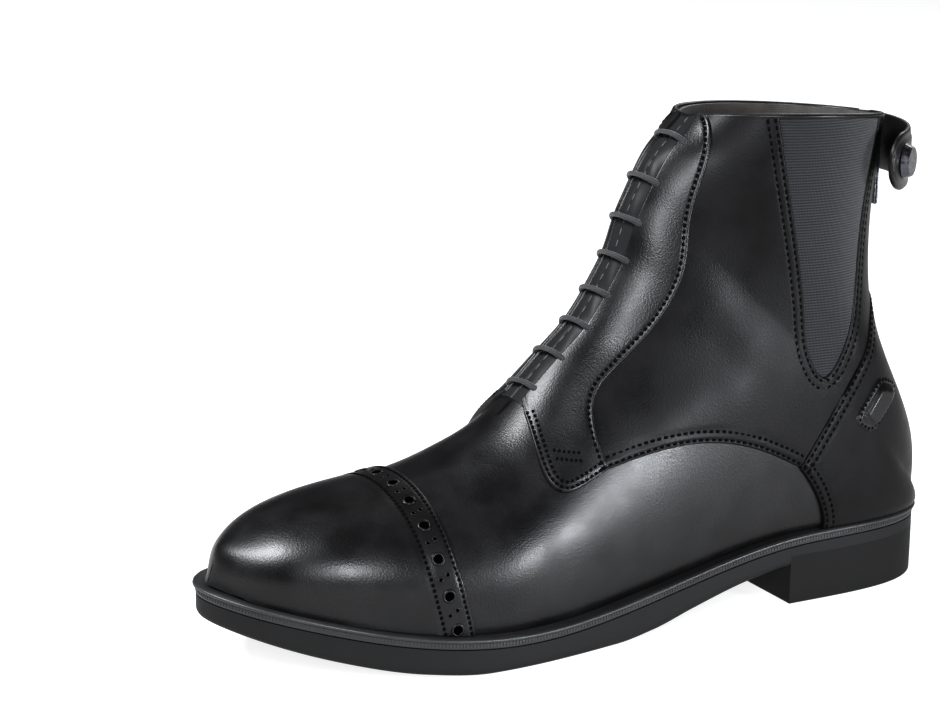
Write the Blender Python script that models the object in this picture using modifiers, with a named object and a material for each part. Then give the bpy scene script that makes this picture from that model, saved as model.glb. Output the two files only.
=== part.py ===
"""Left paddock boot: lasted leather upper, moulded sole with heel, elastic laces, side elastic and a rear zip."""

import bpy
import bmesh
import numpy as np
from mathutils import Matrix, Vector

MM = 0.001

# Driving sizes
SOLE_LENGTH = 290 * MM
BALL_WIDTH = 98 * MM
HEEL_WIDTH = 62 * MM
HEEL_LENGTH = 72 * MM
HEEL_BREAST = 14.3 * MM
HEEL_SEAT = 26.8 * MM
TOE_SPRING = 17 * MM
INSTEP_HEIGHT = 83.7 * MM
SHAFT_HEIGHT = 178.3 * MM
COLLAR_BACK_HEIGHT = 175 * MM
SHAFT_WIDTH = 72 * MM
COLLAR_RISE = 5.4 * MM
COLLAR_FALL = 2.5 * MM

# Walls, layers and clearances
WALL = 2.0 * MM
PANEL = 1.1 * MM
FACING = 1.4 * MM
TOE_CAP = 1.3 * MM
COUNTER = 1.3 * MM
ELASTIC = 0.6 * MM
TONGUE = 2.0 * MM
INSOLE = 3.0 * MM
GAP = 0.3 * MM
INSOLE_CLEARANCE = 2.0 * MM
WELT_REACH = 5.2 * MM
HEEL_WELT_REACH = 3.2 * MM
WELT_HEIGHT = 4.0 * MM
SIDE_INSET = 1.2 * MM
NOTCH_DEPTH = 1.2 * MM
NOTCH_HEIGHT = 2.4 * MM
EDGE_ROUND = 2.2 * MM
HEEL_INSET = 0.4 * MM
HEEL_OVERLAP = 3 * MM
INSOLE_SLOPE = 0.7 * MM
THROAT_SLOT = 1.6 * MM
BINDING = 1.35 * MM
TOUCHING = 0.05 * MM
SHARP_EDGE = np.radians(40)

# Laces, zip, strap and stud
LACE_BARS = 8
LACE_RADIUS = 1.35 * MM
LACE_SPAN = 12 * MM
LACE_RISE = 1.8 * MM
ZIP_TAPE_WIDTH = 24 * MM
ZIP_TAPE = 0.6 * MM
ZIP_CHAIN_WIDTH = 5.6 * MM
ZIP_CHAIN = 1.9 * MM
SLIDER_WIDTH = 9 * MM
SLIDER_LENGTH = 11 * MM
SLIDER_DEPTH = 3.4 * MM
PULL_LENGTH = 24 * MM
PULL_WIDTH = 6 * MM
PULL_THICKNESS = 1.4 * MM
PULL_PIN = 1.5 * MM
STRAP_HEIGHT = 21 * MM
STRAP_THICKNESS = 2.4 * MM
STRAP_STAND_OFF = 7.5 * MM
STRAP_BELOW_COLLAR = 1 * MM
STRAP_MIDDLE = COLLAR_BACK_HEIGHT - STRAP_HEIGHT / 2 - STRAP_BELOW_COLLAR
STUD_RADIUS = 6.5 * MM
STUD_HEIGHT = 2.6 * MM
SPUR_REST_THICKNESS = 3.0 * MM
REAR_REST_THICKNESS = 2.0 * MM
REAR_REST_WIDTH = 16 * MM
METAL_ROUND = 0.8 * MM
PULL_ROUND = 0.5 * MM

# Mesh density
VAMP_STEPS = 12
LEG_STEPS = 9
SEAT_CROWDING = 1.3
COLLAR_STEPS = 5
GIRTH_STEPS = 10
RIDGE_CROWDING = 1.35
OUTLINE_STEPS = 26

# Sole outline from the heel's back, outer side first:
# along (share of SOLE_LENGTH), across (share of the width named in the row, outer side positive)
HEEL, BALL = HEEL_WIDTH, BALL_WIDTH
OUTLINE = [
    (0.000, 0.000, HEEL),
    (0.016, 0.245, HEEL),
    (0.052, 0.395, HEEL),
    (0.105, 0.479, HEEL),
    (0.175, 0.514, HEEL),
    (0.250, 0.526, HEEL),
    (0.380, 0.363, BALL),
    (0.520, 0.437, BALL),
    (0.620, 0.487, BALL),
    (0.690, 0.500, BALL),
    (0.760, 0.482, BALL),
    (0.830, 0.425, BALL),
    (0.895, 0.327, BALL),
    (0.950, 0.205, BALL),
    (0.985, 0.075, BALL),
    (1.000, -0.060, BALL),
    (0.985, -0.195, BALL),
    (0.950, -0.318, BALL),
    (0.900, -0.405, BALL),
    (0.840, -0.465, BALL),
    (0.770, -0.498, BALL),
    (0.700, -0.487, BALL),
    (0.620, -0.425, BALL),
    (0.520, -0.328, BALL),
    (0.380, -0.276, BALL),
    (0.250, -0.474, HEEL),
    (0.175, -0.493, HEEL),
    (0.105, -0.474, HEEL),
    (0.052, -0.395, HEEL),
    (0.016, -0.245, HEEL),
]

# Heights of the surface that the upper meets: along (share of SOLE_LENGTH), height (share of HEEL_SEAT)
SEAT_LINE = [
    (0.00, 1.000), (0.15, 1.004), (0.25, 0.970), (0.38, 0.765), (0.52, 0.552),
    (0.66, 0.478), (0.78, 0.597), (0.90, 0.832), (1.00, 1.056),
]

# Under side ahead of the heel: along (share of SOLE_LENGTH), share of HEEL_BREAST, share of TOE_SPRING
UNDER_LINE = [
    (0.000, 1.00, 0.00), (0.250, 1.00, 0.00), (0.300, 0.86, 0.00), (0.400, 0.40, 0.00), (0.460, 0.12, 0.00),
    (0.520, 0.00, 0.00), (0.700, 0.00, 0.00), (0.780, 0.00, 0.13), (0.880, 0.00, 0.45), (1.000, 0.00, 1.00),
]

# Upper, toe to throat. Each row is one section from the sole's edge (foot) up to the ridge:
# foot and ridge along (share of SOLE_LENGTH), ridge height (share of INSTEP_HEIGHT), ridge across,
# outer and inner half-width (share of BALL_WIDTH), height of the widest place, crest (share of the section)
VAMP_ROWS = [
    (0.9830, 0.9721, 0.430, -0.061, -0.061, -0.061, 0.40, 0.00),
    (0.9690, 0.9655, 0.474, -0.061, 0.031, -0.143, 0.40, 0.00),
    (0.9483, 0.9440, 0.523, -0.056, 0.137, -0.239, 0.38, -0.05),
    (0.9034, 0.9005, 0.599, -0.051, 0.257, -0.334, 0.36, -0.05),
    (0.8276, 0.8265, 0.662, -0.031, 0.370, -0.410, 0.34, -0.03),
    (0.7414, 0.7390, 0.713, -0.010, 0.439, -0.449, 0.30, 0.00),
    (0.6552, 0.6620, 0.824, 0.010, 0.458, -0.428, 0.28, 0.06),
    (0.5517, 0.6006, 0.992, 0.031, 0.424, -0.373, 0.28, 0.12),
]

# Upper, throat to collar: foot along (share of SOLE_LENGTH), back seam height (share of the back's rise),
# ridge along (share of SOLE_LENGTH), ridge height (share of the rise from instep to collar), ridge across,
# outer and inner half-width (share of SHAFT_WIDTH), height of the widest place, crest (share of the section)
SHAFT_ROWS = [
    (0.4483, 0.000, 0.5570, 0.140, 0.063, 0.524, -0.461, 0.30, 0.14),
    (0.3379, 0.000, 0.5164, 0.268, 0.069, 0.489, -0.440, 0.34, 0.13),
    (0.2276, 0.000, 0.4871, 0.404, 0.069, 0.475, -0.440, 0.38, 0.12),
    (0.1310, 0.000, 0.4656, 0.528, 0.069, 0.468, -0.440, 0.42, 0.10),
    (0.0621, 0.000, 0.4531, 0.645, 0.069, 0.461, -0.440, 0.45, 0.08),
    (0.0110, 0.000, 0.4382, 0.746, 0.069, 0.454, -0.440, 0.46, 0.06),
    (0.0175, 0.156, 0.4234, 0.825, 0.069, 0.454, -0.447, 0.47, 0.04),
    (0.0620, 0.337, 0.4068, 0.889, 0.063, 0.454, -0.454, 0.48, 0.02),
    (0.0959, 0.513, 0.3897, 0.930, 0.056, 0.461, -0.461, 0.49, 0.00),
    (0.1048, 0.749, 0.3728, 0.965, 0.042, 0.475, -0.475, 0.50, 0.00),
    (0.0924, 1.000, 0.3578, 1.000, 0.028, 0.489, -0.489, 0.50, 0.00),
]
THROAT_ROW = len(VAMP_ROWS) - 1
LAST_ROW = len(VAMP_ROWS) + len(SHAFT_ROWS) - 1
SEAT_ROW = LAST_ROW - 5
COLLAR_ROW = LAST_ROW - 4

# Panel edges in the side view: along (share of SOLE_LENGTH), height (share of SHAFT_HEIGHT)
TOE_CAP_EDGE = [(0.748, 0.60), (0.743, 0.33), (0.739, 0.22), (0.721, 0.09), (0.712, -0.10)]
FACING_EDGE = [
    (0.343, 1.10), (0.352, 1.00), (0.389, 0.833), (0.405, 0.709), (0.451, 0.598), (0.501, 0.527),
    (0.526, 0.485), (0.533, 0.451), (0.528, 0.352),
]
TAB_EDGE = [(0.560, 0.330), (0.594, 0.322), (0.606, 0.338), (0.610, 0.372), (0.603, 0.445), (0.600, 0.620)]
QUARTER_EDGE = [(0.528, 0.352), (0.446, 0.376), (0.381, 0.377), (0.310, 0.348), (0.249, 0.299)]
COUNTER_EDGE = [
    (0.249, 0.299), (0.200, 0.414), (0.147, 0.542), (0.108, 0.625), (0.050, 0.665), (-0.05, 0.670),
]
COUNTER_FRONT = [(0.249, 0.299), (0.222, 0.241), (0.202, 0.167), (0.198, -0.05)]
GUSSET = [
    (0.297, 1.10), (0.293, 0.996), (0.270, 0.804), (0.248, 0.621), (0.238, 0.531), (0.216, 0.483),
    (0.191, 0.531), (0.162, 0.756), (0.150, 0.887), (0.138, 0.996), (0.134, 1.10),
]
SPUR_REST = [(0.154, 0.381), (0.122, 0.446), (0.093, 0.422), (0.131, 0.361)]
REAR_REST = (0.27, 0.37)
BACK_OF_BOOT = -0.05
ABOVE_COLLAR = 1.10
BEYOND_TOE = 1.10
PAST_RIDGE = (0.640, 0.70)

# Where each layer is cut from the form:
# s runs from the toe (0) to the collar (1), q from the ridge (0) to the foot (1)
LEG_FROM = 0.30
TOE_CAP_UP_TO = 0.36
COUNTER_FROM = 0.40
SHAFT_FROM = 0.55
REAR_REST_FROM = 0.50
SPUR_RESTS = (0.55, 0.95)
FACING_REACH = 0.62
TONGUE_REACH = 0.20
ZIP_REACH = 0.60
STRAP_SHARES = (0.74, 1.34)
LACE_SHARES = (0.035, 0.875)
NEAR = 0.01

# Welt profile: inset and height below the seat line (shares of WELT_REACH and WELT_HEIGHT)
WELT_PROFILE = [
    (2.15, -1.00), (0.17, -1.00), (0.02, -0.72), (0.02, -0.34), (0.19, -0.06), (0.42, 0.00), (2.15, 0.00),
]

def natural_spline(knots, values, at):
    """The smooth curve through (knots, values), with values in rows."""
    x = np.asarray(knots, float)
    y = np.asarray(values, float)
    flat = y.ndim == 1
    if flat:
        y = y[:, None]
    count = len(x)
    step = np.diff(x)
    matrix = np.zeros((count, count))
    right = np.zeros((count, y.shape[1]))
    matrix[0, 0] = matrix[-1, -1] = 1
    for i in range(1, count - 1):
        matrix[i, i - 1 : i + 2] = step[i - 1], 2 * (step[i - 1] + step[i]), step[i]
        right[i] = 6 * ((y[i + 1] - y[i]) / step[i] - (y[i] - y[i - 1]) / step[i - 1])
    bend = np.linalg.solve(matrix, right)
    at = np.clip(np.asarray(at, float), x[0], x[-1])
    k = np.clip(np.searchsorted(x, at, side="right") - 1, 0, count - 2)
    into = (at - x[k])[..., None]
    span = step[k][..., None]
    left = span - into
    out = (bend[k] * left**3 + bend[k + 1] * into**3) / (6 * span)
    out = out + (y[k] / span - bend[k] * span / 6) * left + (y[k + 1] / span - bend[k + 1] * span / 6) * into
    return out[..., 0] if flat else out


def steady_curve(knots, values, at):
    """A curve through the values that never overshoots them."""
    x = np.asarray(knots, float)
    y = np.asarray(values, float)
    step = np.diff(x)
    slope = np.diff(y) / step
    tangent = np.r_[slope[0], np.zeros(len(x) - 2), slope[-1]]
    for i in range(1, len(x) - 1):
        if slope[i - 1] * slope[i] > 0:
            first = 2 * step[i] + step[i - 1]
            second = step[i] + 2 * step[i - 1]
            tangent[i] = (first + second) / (first / slope[i - 1] + second / slope[i])
    at = np.clip(np.asarray(at, float), x[0], x[-1])
    k = np.clip(np.searchsorted(x, at, side="right") - 1, 0, len(x) - 2)
    t = (at - x[k]) / step[k]
    start = (1 + 2 * t) * (1 - t) ** 2 * y[k] + t * (1 - t) ** 2 * step[k] * tangent[k]
    return start + t * t * (3 - 2 * t) * y[k + 1] + t * t * (t - 1) * step[k] * tangent[k + 1]


def sole_outline(inset):
    """A ring of (along, across): the outer side from heel to toe, then the inner side back.
    It is moved inwards by inset, a length or a function of along."""
    rows = np.array([(along * SOLE_LENGTH, across * width) for along, across, width in OUTLINE])
    closed = np.vstack([rows[-3:], rows, rows[:4]])
    run = np.r_[0, np.cumsum(np.hypot(*np.diff(closed, axis=0).T))]
    fine = natural_spline(run, closed, np.linspace(run[3], run[3 + len(rows)], 1201))[:-1]
    tip = fine[:, 0].argmax()
    outward = np.roll(fine, -1, 0) - np.roll(fine, 1, 0)
    outward /= np.hypot(*outward.T)[:, None]
    depth = inset(fine[:, 0]) if callable(inset) else inset
    fine = fine + np.stack([outward[:, 1], -outward[:, 0]], 1) * np.reshape(depth, (-1, 1))
    sides = []
    for part in (fine[: tip + 1], np.vstack([fine[tip:], fine[:1]])):
        length = np.r_[0, np.cumsum(np.hypot(*np.diff(part, axis=0).T))]
        even = np.linspace(0, length[-1], OUTLINE_STEPS + 1)
        side = np.stack([np.interp(even, length, part[:, 0]), np.interp(even, length, part[:, 1])], 1)
        sides.append(side[:-1])
    return np.vstack(sides)


def seat_height(along):
    """Height of the sole's top, where the upper stands."""
    table = np.array(SEAT_LINE)
    return natural_spline(table[:, 0], table[:, 1], along / SOLE_LENGTH) * HEEL_SEAT


def under_height(along):
    """Height of the under side, without the heel block."""
    table = np.array(UNDER_LINE)
    share = along / SOLE_LENGTH
    arch = steady_curve(table[:, 0], table[:, 1], share) * HEEL_BREAST
    return arch + steady_curve(table[:, 0], table[:, 2], share) * TOE_SPRING


def welt_reach(along):
    """How far the welt stands out beyond the upper: less round the heel."""
    share = np.clip(along / HEEL_LENGTH - 0.5, 0, 1)
    return HEEL_WELT_REACH + (WELT_REACH - HEEL_WELT_REACH) * share**2 * (3 - 2 * share)


FEATHER = sole_outline(welt_reach)


def feather_across(along, side):
    """Where the upper's lower edge lies across the sole, on one side."""
    turn = OUTLINE_STEPS
    half = FEATHER[: turn + 1] if side > 0 else np.vstack([FEATHER[turn:], FEATHER[:1]])[::-1]
    return np.interp(along, half[:, 0], half[:, 1])


def section_values(s):
    """Foot and ridge of the upper's section at s, which runs from 0 at the toe to 1 at the collar."""
    back_rise = COLLAR_BACK_HEIGHT - HEEL_SEAT
    leg_rise = SHAFT_HEIGHT - INSTEP_HEIGHT
    foot, back, shape = [], [], []
    for along, ridge, rise, shift, outer, inner, widest, crest in VAMP_ROWS:
        foot.append(along * SOLE_LENGTH)
        back.append(0)
        widths = [shift * BALL_WIDTH, outer * BALL_WIDTH, inner * BALL_WIDTH]
        shape.append([ridge * SOLE_LENGTH, rise * INSTEP_HEIGHT, *widths, widest, crest])
    for along, seam, ridge, rise, shift, outer, inner, widest, crest in SHAFT_ROWS:
        foot.append(along * SOLE_LENGTH)
        back.append(seam * back_rise)
        widths = [shift * SHAFT_WIDTH, outer * SHAFT_WIDTH, inner * SHAFT_WIDTH]
        shape.append([ridge * SOLE_LENGTH, INSTEP_HEIGHT + rise * leg_rise, *widths, widest, crest])
    rows = np.linspace(0, 1, LAST_ROW + 1)
    return steady_curve(rows, foot, s), steady_curve(rows, back, s), natural_spline(rows, shape, s)


def collar_lift(s, q, across):
    """How far the collar's edge is raised on the outer side and lowered towards the back on the inner side."""
    near = np.clip((s * LAST_ROW - COLLAR_ROW) / (LAST_ROW - COLLAR_ROW), 0, 1) ** 2
    share = np.clip(np.abs(across) / (SHAFT_WIDTH / 2), 0, 1)
    return near * share * np.where(q > 0, COLLAR_RISE * (1 - 0.4 * q**2), COLLAR_FALL * q)


def upper_point(s, q):
    """The upper's outer face. q is 0 on the ridge, 1 at the outer foot or back seam and -1 at the inner."""
    s, q = np.broadcast_arrays(np.asarray(s, float), np.asarray(q, float))
    foot, back, shape = section_values(s)
    side = np.where(q < 0, -1, 1)
    front, rear = FEATHER[:, 0].max(), FEATHER[:, 0].min()
    on_sole = s <= SEAT_ROW / LAST_ROW + 1e-9
    low_along = np.where(on_sole, np.clip(foot, rear, front), foot)
    low_across = np.where(side > 0, feather_across(low_along, 1), feather_across(low_along, -1)) * on_sole
    low_up = seat_height(np.clip(low_along, rear, front)) + back + GAP
    top_along, top_up, top_across = shape[..., 0], shape[..., 1], shape[..., 2]
    half = np.where(side > 0, shape[..., 3], shape[..., 4])[..., None]
    widest, crest = shape[..., 5, None], shape[..., 6, None]
    angle = np.linspace(0, np.pi / 2, 49)
    centre = top_across[..., None]
    upper_x = centre + (half - centre) * np.sin(angle) * (1 - crest * np.cos(angle) ** 2)
    upper_h = widest + (1 - widest) * np.cos(angle)
    lower_x = low_across[..., None] + (half - low_across[..., None]) * np.cos(angle[1:])
    lower_h = widest * (1 - np.sin(angle[1:]))
    x = np.concatenate([upper_x, lower_x], -1)
    h = np.concatenate([upper_h, lower_h], -1)
    along = low_along[..., None] + (top_along - low_along)[..., None] * h
    up = low_up[..., None] + (top_up - low_up)[..., None] * h
    line = np.stack([x, SOLE_LENGTH / 2 - along, up], -1)
    length = np.linalg.norm(np.diff(line, axis=-2), axis=-1)
    length = np.concatenate([np.zeros(length.shape[:-1] + (1,)), np.cumsum(length, -1)], -1)
    length /= np.maximum(length[..., -1:], 1e-9)
    places = np.abs(q).reshape(-1)
    flat_line = line.reshape(-1, line.shape[-2], 3)
    flat_length = length.reshape(-1, length.shape[-1])
    out = np.empty((len(places), 3))
    for i, place in enumerate(places):
        for axis in range(3):
            out[i, axis] = np.interp(place, flat_length[i], flat_line[i, :, axis])
    out = out.reshape(q.shape + (3,))
    out[..., 2] += collar_lift(s, q, out[..., 0])
    return out


def material(name, colour, roughness, metallic=0.0):
    made = bpy.data.materials.new(name)
    made.use_nodes = True
    shader = made.node_tree.nodes["Principled BSDF"]
    shader.inputs["Base Color"].default_value = (*colour, 1)
    shader.inputs["Roughness"].default_value = roughness
    shader.inputs["Metallic"].default_value = metallic
    return made


def add_object(name, mesh, look=None, guide=False):
    obj = bpy.data.objects.new(name, mesh)
    (GUIDES if guide else PARTS).objects.link(obj)
    obj.parent = STAND
    if guide:
        obj.hide_render = True
        obj.display_type = "WIRE"
    else:
        mesh.materials.append(look)
    return obj


def finished(bm, name):
    """A mesh from bm, with doubles joined and faces turned out."""
    bmesh.ops.remove_doubles(bm, verts=bm.verts, dist=TOUCHING)
    bmesh.ops.recalc_face_normals(bm, faces=bm.faces)
    mesh = bpy.data.meshes.new(name)
    bm.to_mesh(mesh)
    bm.free()
    mesh.shade_smooth()
    mesh.set_sharp_from_angle(angle=SHARP_EDGE)
    return mesh


SLOT_SHARE = THROAT_SLOT / (1.4 * SHAFT_WIDTH)


def girth_places():
    """q across both sides: places at the throat slot's edges, then closer together near the ridge."""
    half = np.r_[0, SLOT_SHARE, np.linspace(0, 1, GIRTH_STEPS + 1)[1:] ** RIDGE_CROWDING]
    return np.r_[-half[:0:-1], half]


def section_places():
    """s along the form: to the throat, to the heel's seat with sections crowding there, then to the collar."""
    throat, seat = THROAT_ROW / LAST_ROW, SEAT_ROW / LAST_ROW
    along_leg = 1 - np.linspace(1, 0, LEG_STEPS + 1)[1:] ** SEAT_CROWDING
    return np.r_[
        np.linspace(0, throat, VAMP_STEPS),
        throat + (seat - throat) * along_leg,
        np.linspace(seat, 1, COLLAR_STEPS + 1)[1:],
    ]


def last_form(lift, skip=None):
    """The upper's open form as a bmesh, moved out along its normals by lift. skip(s, q) leaves a face out."""
    s, q = section_places(), girth_places()
    grid = upper_point(s[:, None], q[None, :])
    bm = bmesh.new()
    verts = [[bm.verts.new(point) for point in row] for row in grid]
    out = bm.faces.layers.int.new("left out")
    for i in range(len(s) - 1):
        for j in range(len(q) - 1):
            face = bm.faces.new((verts[i][j], verts[i][j + 1], verts[i + 1][j + 1], verts[i + 1][j]))
            face[out] = bool(skip and skip((s[i] + s[i + 1]) / 2, (q[j] + q[j + 1]) / 2))
    bmesh.ops.remove_doubles(bm, verts=bm.verts, dist=TOUCHING)
    bmesh.ops.triangulate(bm, faces=bm.faces, quad_method="FIXED")
    bm.normal_update()
    for vert in bm.verts:
        vert.co += vert.normal * lift
    bmesh.ops.delete(bm, geom=[face for face in bm.faces if face[out]], context="FACES")
    return bm


def form_object(name, bm, thickness, look, outwards=True):
    mesh = bpy.data.meshes.new(name)
    bm.to_mesh(mesh)
    bm.free()
    mesh.shade_smooth()
    obj = add_object(name, mesh, look)
    solidify = obj.modifiers.new("wall", "SOLIDIFY")
    solidify.thickness = thickness
    solidify.offset = 1 if outwards else -1
    solidify.use_rim = True
    return obj


def cut(obj, cutter, operation):
    modifier = obj.modifiers.new(operation.lower(), "BOOLEAN")
    modifier.operation = operation
    modifier.object = cutter
    return obj


def side_prism(name, outline, low, high):
    """A guide solid: an outline of (along, height) in metres, from x low to x high."""
    bm = bmesh.new()
    face = bm.faces.new([bm.verts.new((low, SOLE_LENGTH / 2 - along, up)) for along, up in outline])
    moved = bmesh.ops.extrude_face_region(bm, geom=[face])["geom"]
    bmesh.ops.translate(bm, vec=(high - low, 0, 0), verts=[v for v in moved if isinstance(v, bmesh.types.BMVert)])
    bmesh.ops.triangulate(bm, faces=[f for f in bm.faces if len(f.verts) > 4])
    return add_object(name, finished(bm, name), guide=True)


def edge_line(rows, steps=3, shift=(0, 0)):
    """Points of a panel edge, smoothed through the rows of its table and moved by shift."""
    points = np.array(rows, float) * (SOLE_LENGTH, SHAFT_HEIGHT) + shift
    run = np.r_[0, np.cumsum(np.hypot(*np.diff(points, axis=0).T))]
    return natural_spline(run, points, np.linspace(0, run[-1], steps * (len(rows) - 1) + 1))


def join_rings(bm, rings, around=False):
    """Faces between rings of equal count, also from the last to the first where the profile closes around."""
    made = [[bm.verts.new(point) for point in ring] for ring in rings]
    for low, high in zip(made, made[1:] + made[:1] if around else made[1:]):
        for i in range(len(low)):
            j = (i + 1) % len(low)
            bm.faces.new((low[i], low[j], high[j], high[i]))
    return made


def rings_to_mesh(bm, rings):
    """Joins rings of equal count and closes both ends with rungs across."""
    made = join_rings(bm, rings)
    count = len(made[0])
    for ring in (made[0], made[-1]):
        for i in range(count // 2):
            corners = [ring[i], ring[i + 1], ring[(count - i - 1) % count], ring[(count - i) % count]]
            bm.faces.new(list(dict.fromkeys(corners)))


def sole_ring(inset, height):
    """A ring of the sole's outline at an inset, with its height worked out from along."""
    ring = sole_outline(inset)
    return [(across, SOLE_LENGTH / 2 - along, up) for (along, across), up in zip(ring, height(ring[:, 0]))]


PARTS = bpy.data.collections.new("paddock_boot")
GUIDES = bpy.data.collections.new("guides")


def clear_scene():
    for obj in list(bpy.data.objects):
        bpy.data.objects.remove(obj)
    bpy.context.scene.collection.children.link(PARTS)
    bpy.context.scene.collection.children.link(GUIDES)


def ring_height(offset):
    """A height function: the seat line moved by offset."""
    return lambda along: seat_height(along) + offset


def make_outsole(look):
    """Moulded unit: sole plate with a grooved side, a raised bed for the insole, and the heel block."""
    top = -WELT_HEIGHT - GAP
    bed = WELT_PROFILE[0][0] * WELT_REACH + GAP
    bm = bmesh.new()
    rings_to_mesh(bm, [
        sole_ring(SIDE_INSET + EDGE_ROUND, under_height),
        sole_ring(SIDE_INSET + EDGE_ROUND * 0.3, lambda along: under_height(along) + EDGE_ROUND * 0.3),
        sole_ring(SIDE_INSET, lambda along: under_height(along) + EDGE_ROUND),
        sole_ring(SIDE_INSET, ring_height(top - NOTCH_HEIGHT)),
        sole_ring(SIDE_INSET + NOTCH_DEPTH, ring_height(top - NOTCH_HEIGHT + NOTCH_DEPTH / 2)),
        sole_ring(SIDE_INSET + NOTCH_DEPTH, ring_height(top)),
        sole_ring(bed, ring_height(top)),
        sole_ring(bed, ring_height(0)),
    ])
    outsole = add_object("outsole", finished(bm, "outsole"), look)
    heel = heel_block()
    return cut(outsole, heel, "UNION")


def heel_block():
    """Heel below the sole plate, a D shape with a straight breast and rounded lower edge."""
    bm = bmesh.new()
    rings = []
    rounded = EDGE_ROUND * 0.8
    for inset, up in ((rounded, 0), (0, rounded), (0, HEEL_BREAST + HEEL_OVERLAP)):
        ring = sole_outline(SIDE_INSET + HEEL_INSET + inset)
        length = HEEL_LENGTH - inset
        outer = ring[:OUTLINE_STEPS]
        inner = ring[OUTLINE_STEPS:]
        outer = outer[outer[:, 0] < length]
        inner = inner[inner[:, 0] < length]
        corners = [(length, feather_edge(ring, length, 1)), (length, feather_edge(ring, length, -1))]
        loop = np.vstack([outer, corners, inner])
        rings.append([(across, SOLE_LENGTH / 2 - along, up) for along, across in loop])
    made = join_rings(bm, rings)
    bm.faces.new(made[0])
    bm.faces.new(made[-1])
    return add_object("heel_block", finished(bm, "heel_block"), guide=True)


def feather_edge(ring, along, side):
    """How far across a ring lies at a distance along, on one side."""
    half = ring[:OUTLINE_STEPS] if side > 0 else ring[OUTLINE_STEPS:][::-1]
    return np.interp(along, half[:, 0], half[:, 1])


def make_welt(look):
    """Rounded strip round the sole, under the upper's lower edge."""
    bm = bmesh.new()
    join_rings(bm, [sole_ring(inset * WELT_REACH, ring_height(up * WELT_HEIGHT)) for inset, up in WELT_PROFILE], True)
    return add_object("welt", finished(bm, "welt"), look)


def make_insole(look):
    inset = WELT_REACH + WALL + INSOLE_CLEARANCE
    bm = bmesh.new()
    rings_to_mesh(bm, [
        sole_ring(inset, ring_height(GAP)),
        sole_ring(inset + INSOLE_SLOPE, ring_height(GAP + INSOLE)),
    ])
    return add_object("insole", finished(bm, "insole"), look)


def throat_skip(s, q):
    return s > THROAT_ROW / LAST_ROW and abs(q) < SLOT_SHARE


def make_upper(look, floor):
    """The lasted leather body: one hollow shell, open at collar, throat slot and underneath."""
    upper = form_object("upper", last_form(0, throat_skip), WALL, look, outwards=False)
    return cut(upper, floor, "DIFFERENCE")


def make_tongue(look):
    start = (THROAT_ROW - 0.8) / LAST_ROW
    form = last_form(-(WALL + 2 * GAP), lambda s, q: s < start or abs(q) > TONGUE_REACH)
    return form_object("tongue", form, TONGUE, look, outwards=False)


def side_form(lift, side, low, high, reach):
    """One side's part of the form: sections from low to high, as far as q reach."""
    return last_form(lift, lambda s, q: not (low < s < high and SLOT_SHARE < side * q < reach))


def side_range(side):
    return (-THROAT_SLOT, BALL_WIDTH) if side > 0 else (-BALL_WIDTH, THROAT_SLOT)


def ridge_cover():
    """Outline points beyond the ridge, so that a prism takes in the whole front."""
    along, up = PAST_RIDGE
    return [(along * SOLE_LENGTH, up * SHAFT_HEIGHT), (along * SOLE_LENGTH, ABOVE_COLLAR * SHAFT_HEIGHT)]


def make_facing(name, side, look):
    form = side_form(GAP, side, LEG_FROM, 1, FACING_REACH)
    facing = form_object(name, form, FACING, look)
    outline = [*edge_line(FACING_EDGE), *edge_line(TAB_EDGE)[1:], *ridge_cover()]
    return cut(facing, side_prism(name + "_outline", outline, -BALL_WIDTH, BALL_WIDTH), "INTERSECT")


def make_quarter(name, side, look):
    """Side panel from the facing to the back, above the vamp, with an opening for the elastic."""
    form = side_form(GAP, side, LEG_FROM, 1, 1)
    quarter = form_object(name, form, PANEL, look)
    back = [(BACK_OF_BOOT * SOLE_LENGTH, COUNTER_EDGE[-1][1] * SHAFT_HEIGHT + GAP),
            (BACK_OF_BOOT * SOLE_LENGTH, ABOVE_COLLAR * SHAFT_HEIGHT)]
    outline = [
        *edge_line(FACING_EDGE, shift=(-GAP, 0)),
        *edge_line(QUARTER_EDGE, shift=(-GAP, 0))[1:-1],
        *edge_line(COUNTER_EDGE, shift=(0, 2 * GAP))[:-1],
        *back,
    ]
    cut(quarter, side_prism(name + "_outline", outline, -BALL_WIDTH, BALL_WIDTH), "INTERSECT")
    cut(quarter, side_prism(name + "_window", edge_line(GUSSET), *side_range(side)), "DIFFERENCE")
    return cut(quarter, back_box("zip_opening", ZIP_TAPE_WIDTH / 2 + GAP, 0, 2 * SHAFT_HEIGHT), "DIFFERENCE")


def make_gusset(name, side, look):
    form = side_form(GAP, side, SHAFT_FROM, 1, 1)
    gusset = form_object(name, form, ELASTIC, look)
    rows = edge_line(GUSSET)
    middle = rows.mean(axis=0)
    inner = middle + (rows - middle) * (1 - 4 * GAP / np.hypot(*(rows - middle).T))[:, None]
    return cut(gusset, side_prism(name + "_outline", inner, *side_range(side)), "INTERSECT")


def sole_floor():
    """A guide solid that fills everything below the line where the upper stands."""
    wide = -2 * WELT_REACH
    bm = bmesh.new()
    rings_to_mesh(bm, [sole_ring(wide, lambda along: along * 0 + wide), sole_ring(wide, ring_height(GAP))])
    return add_object("sole_floor", finished(bm, "sole_floor"), guide=True)


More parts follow.
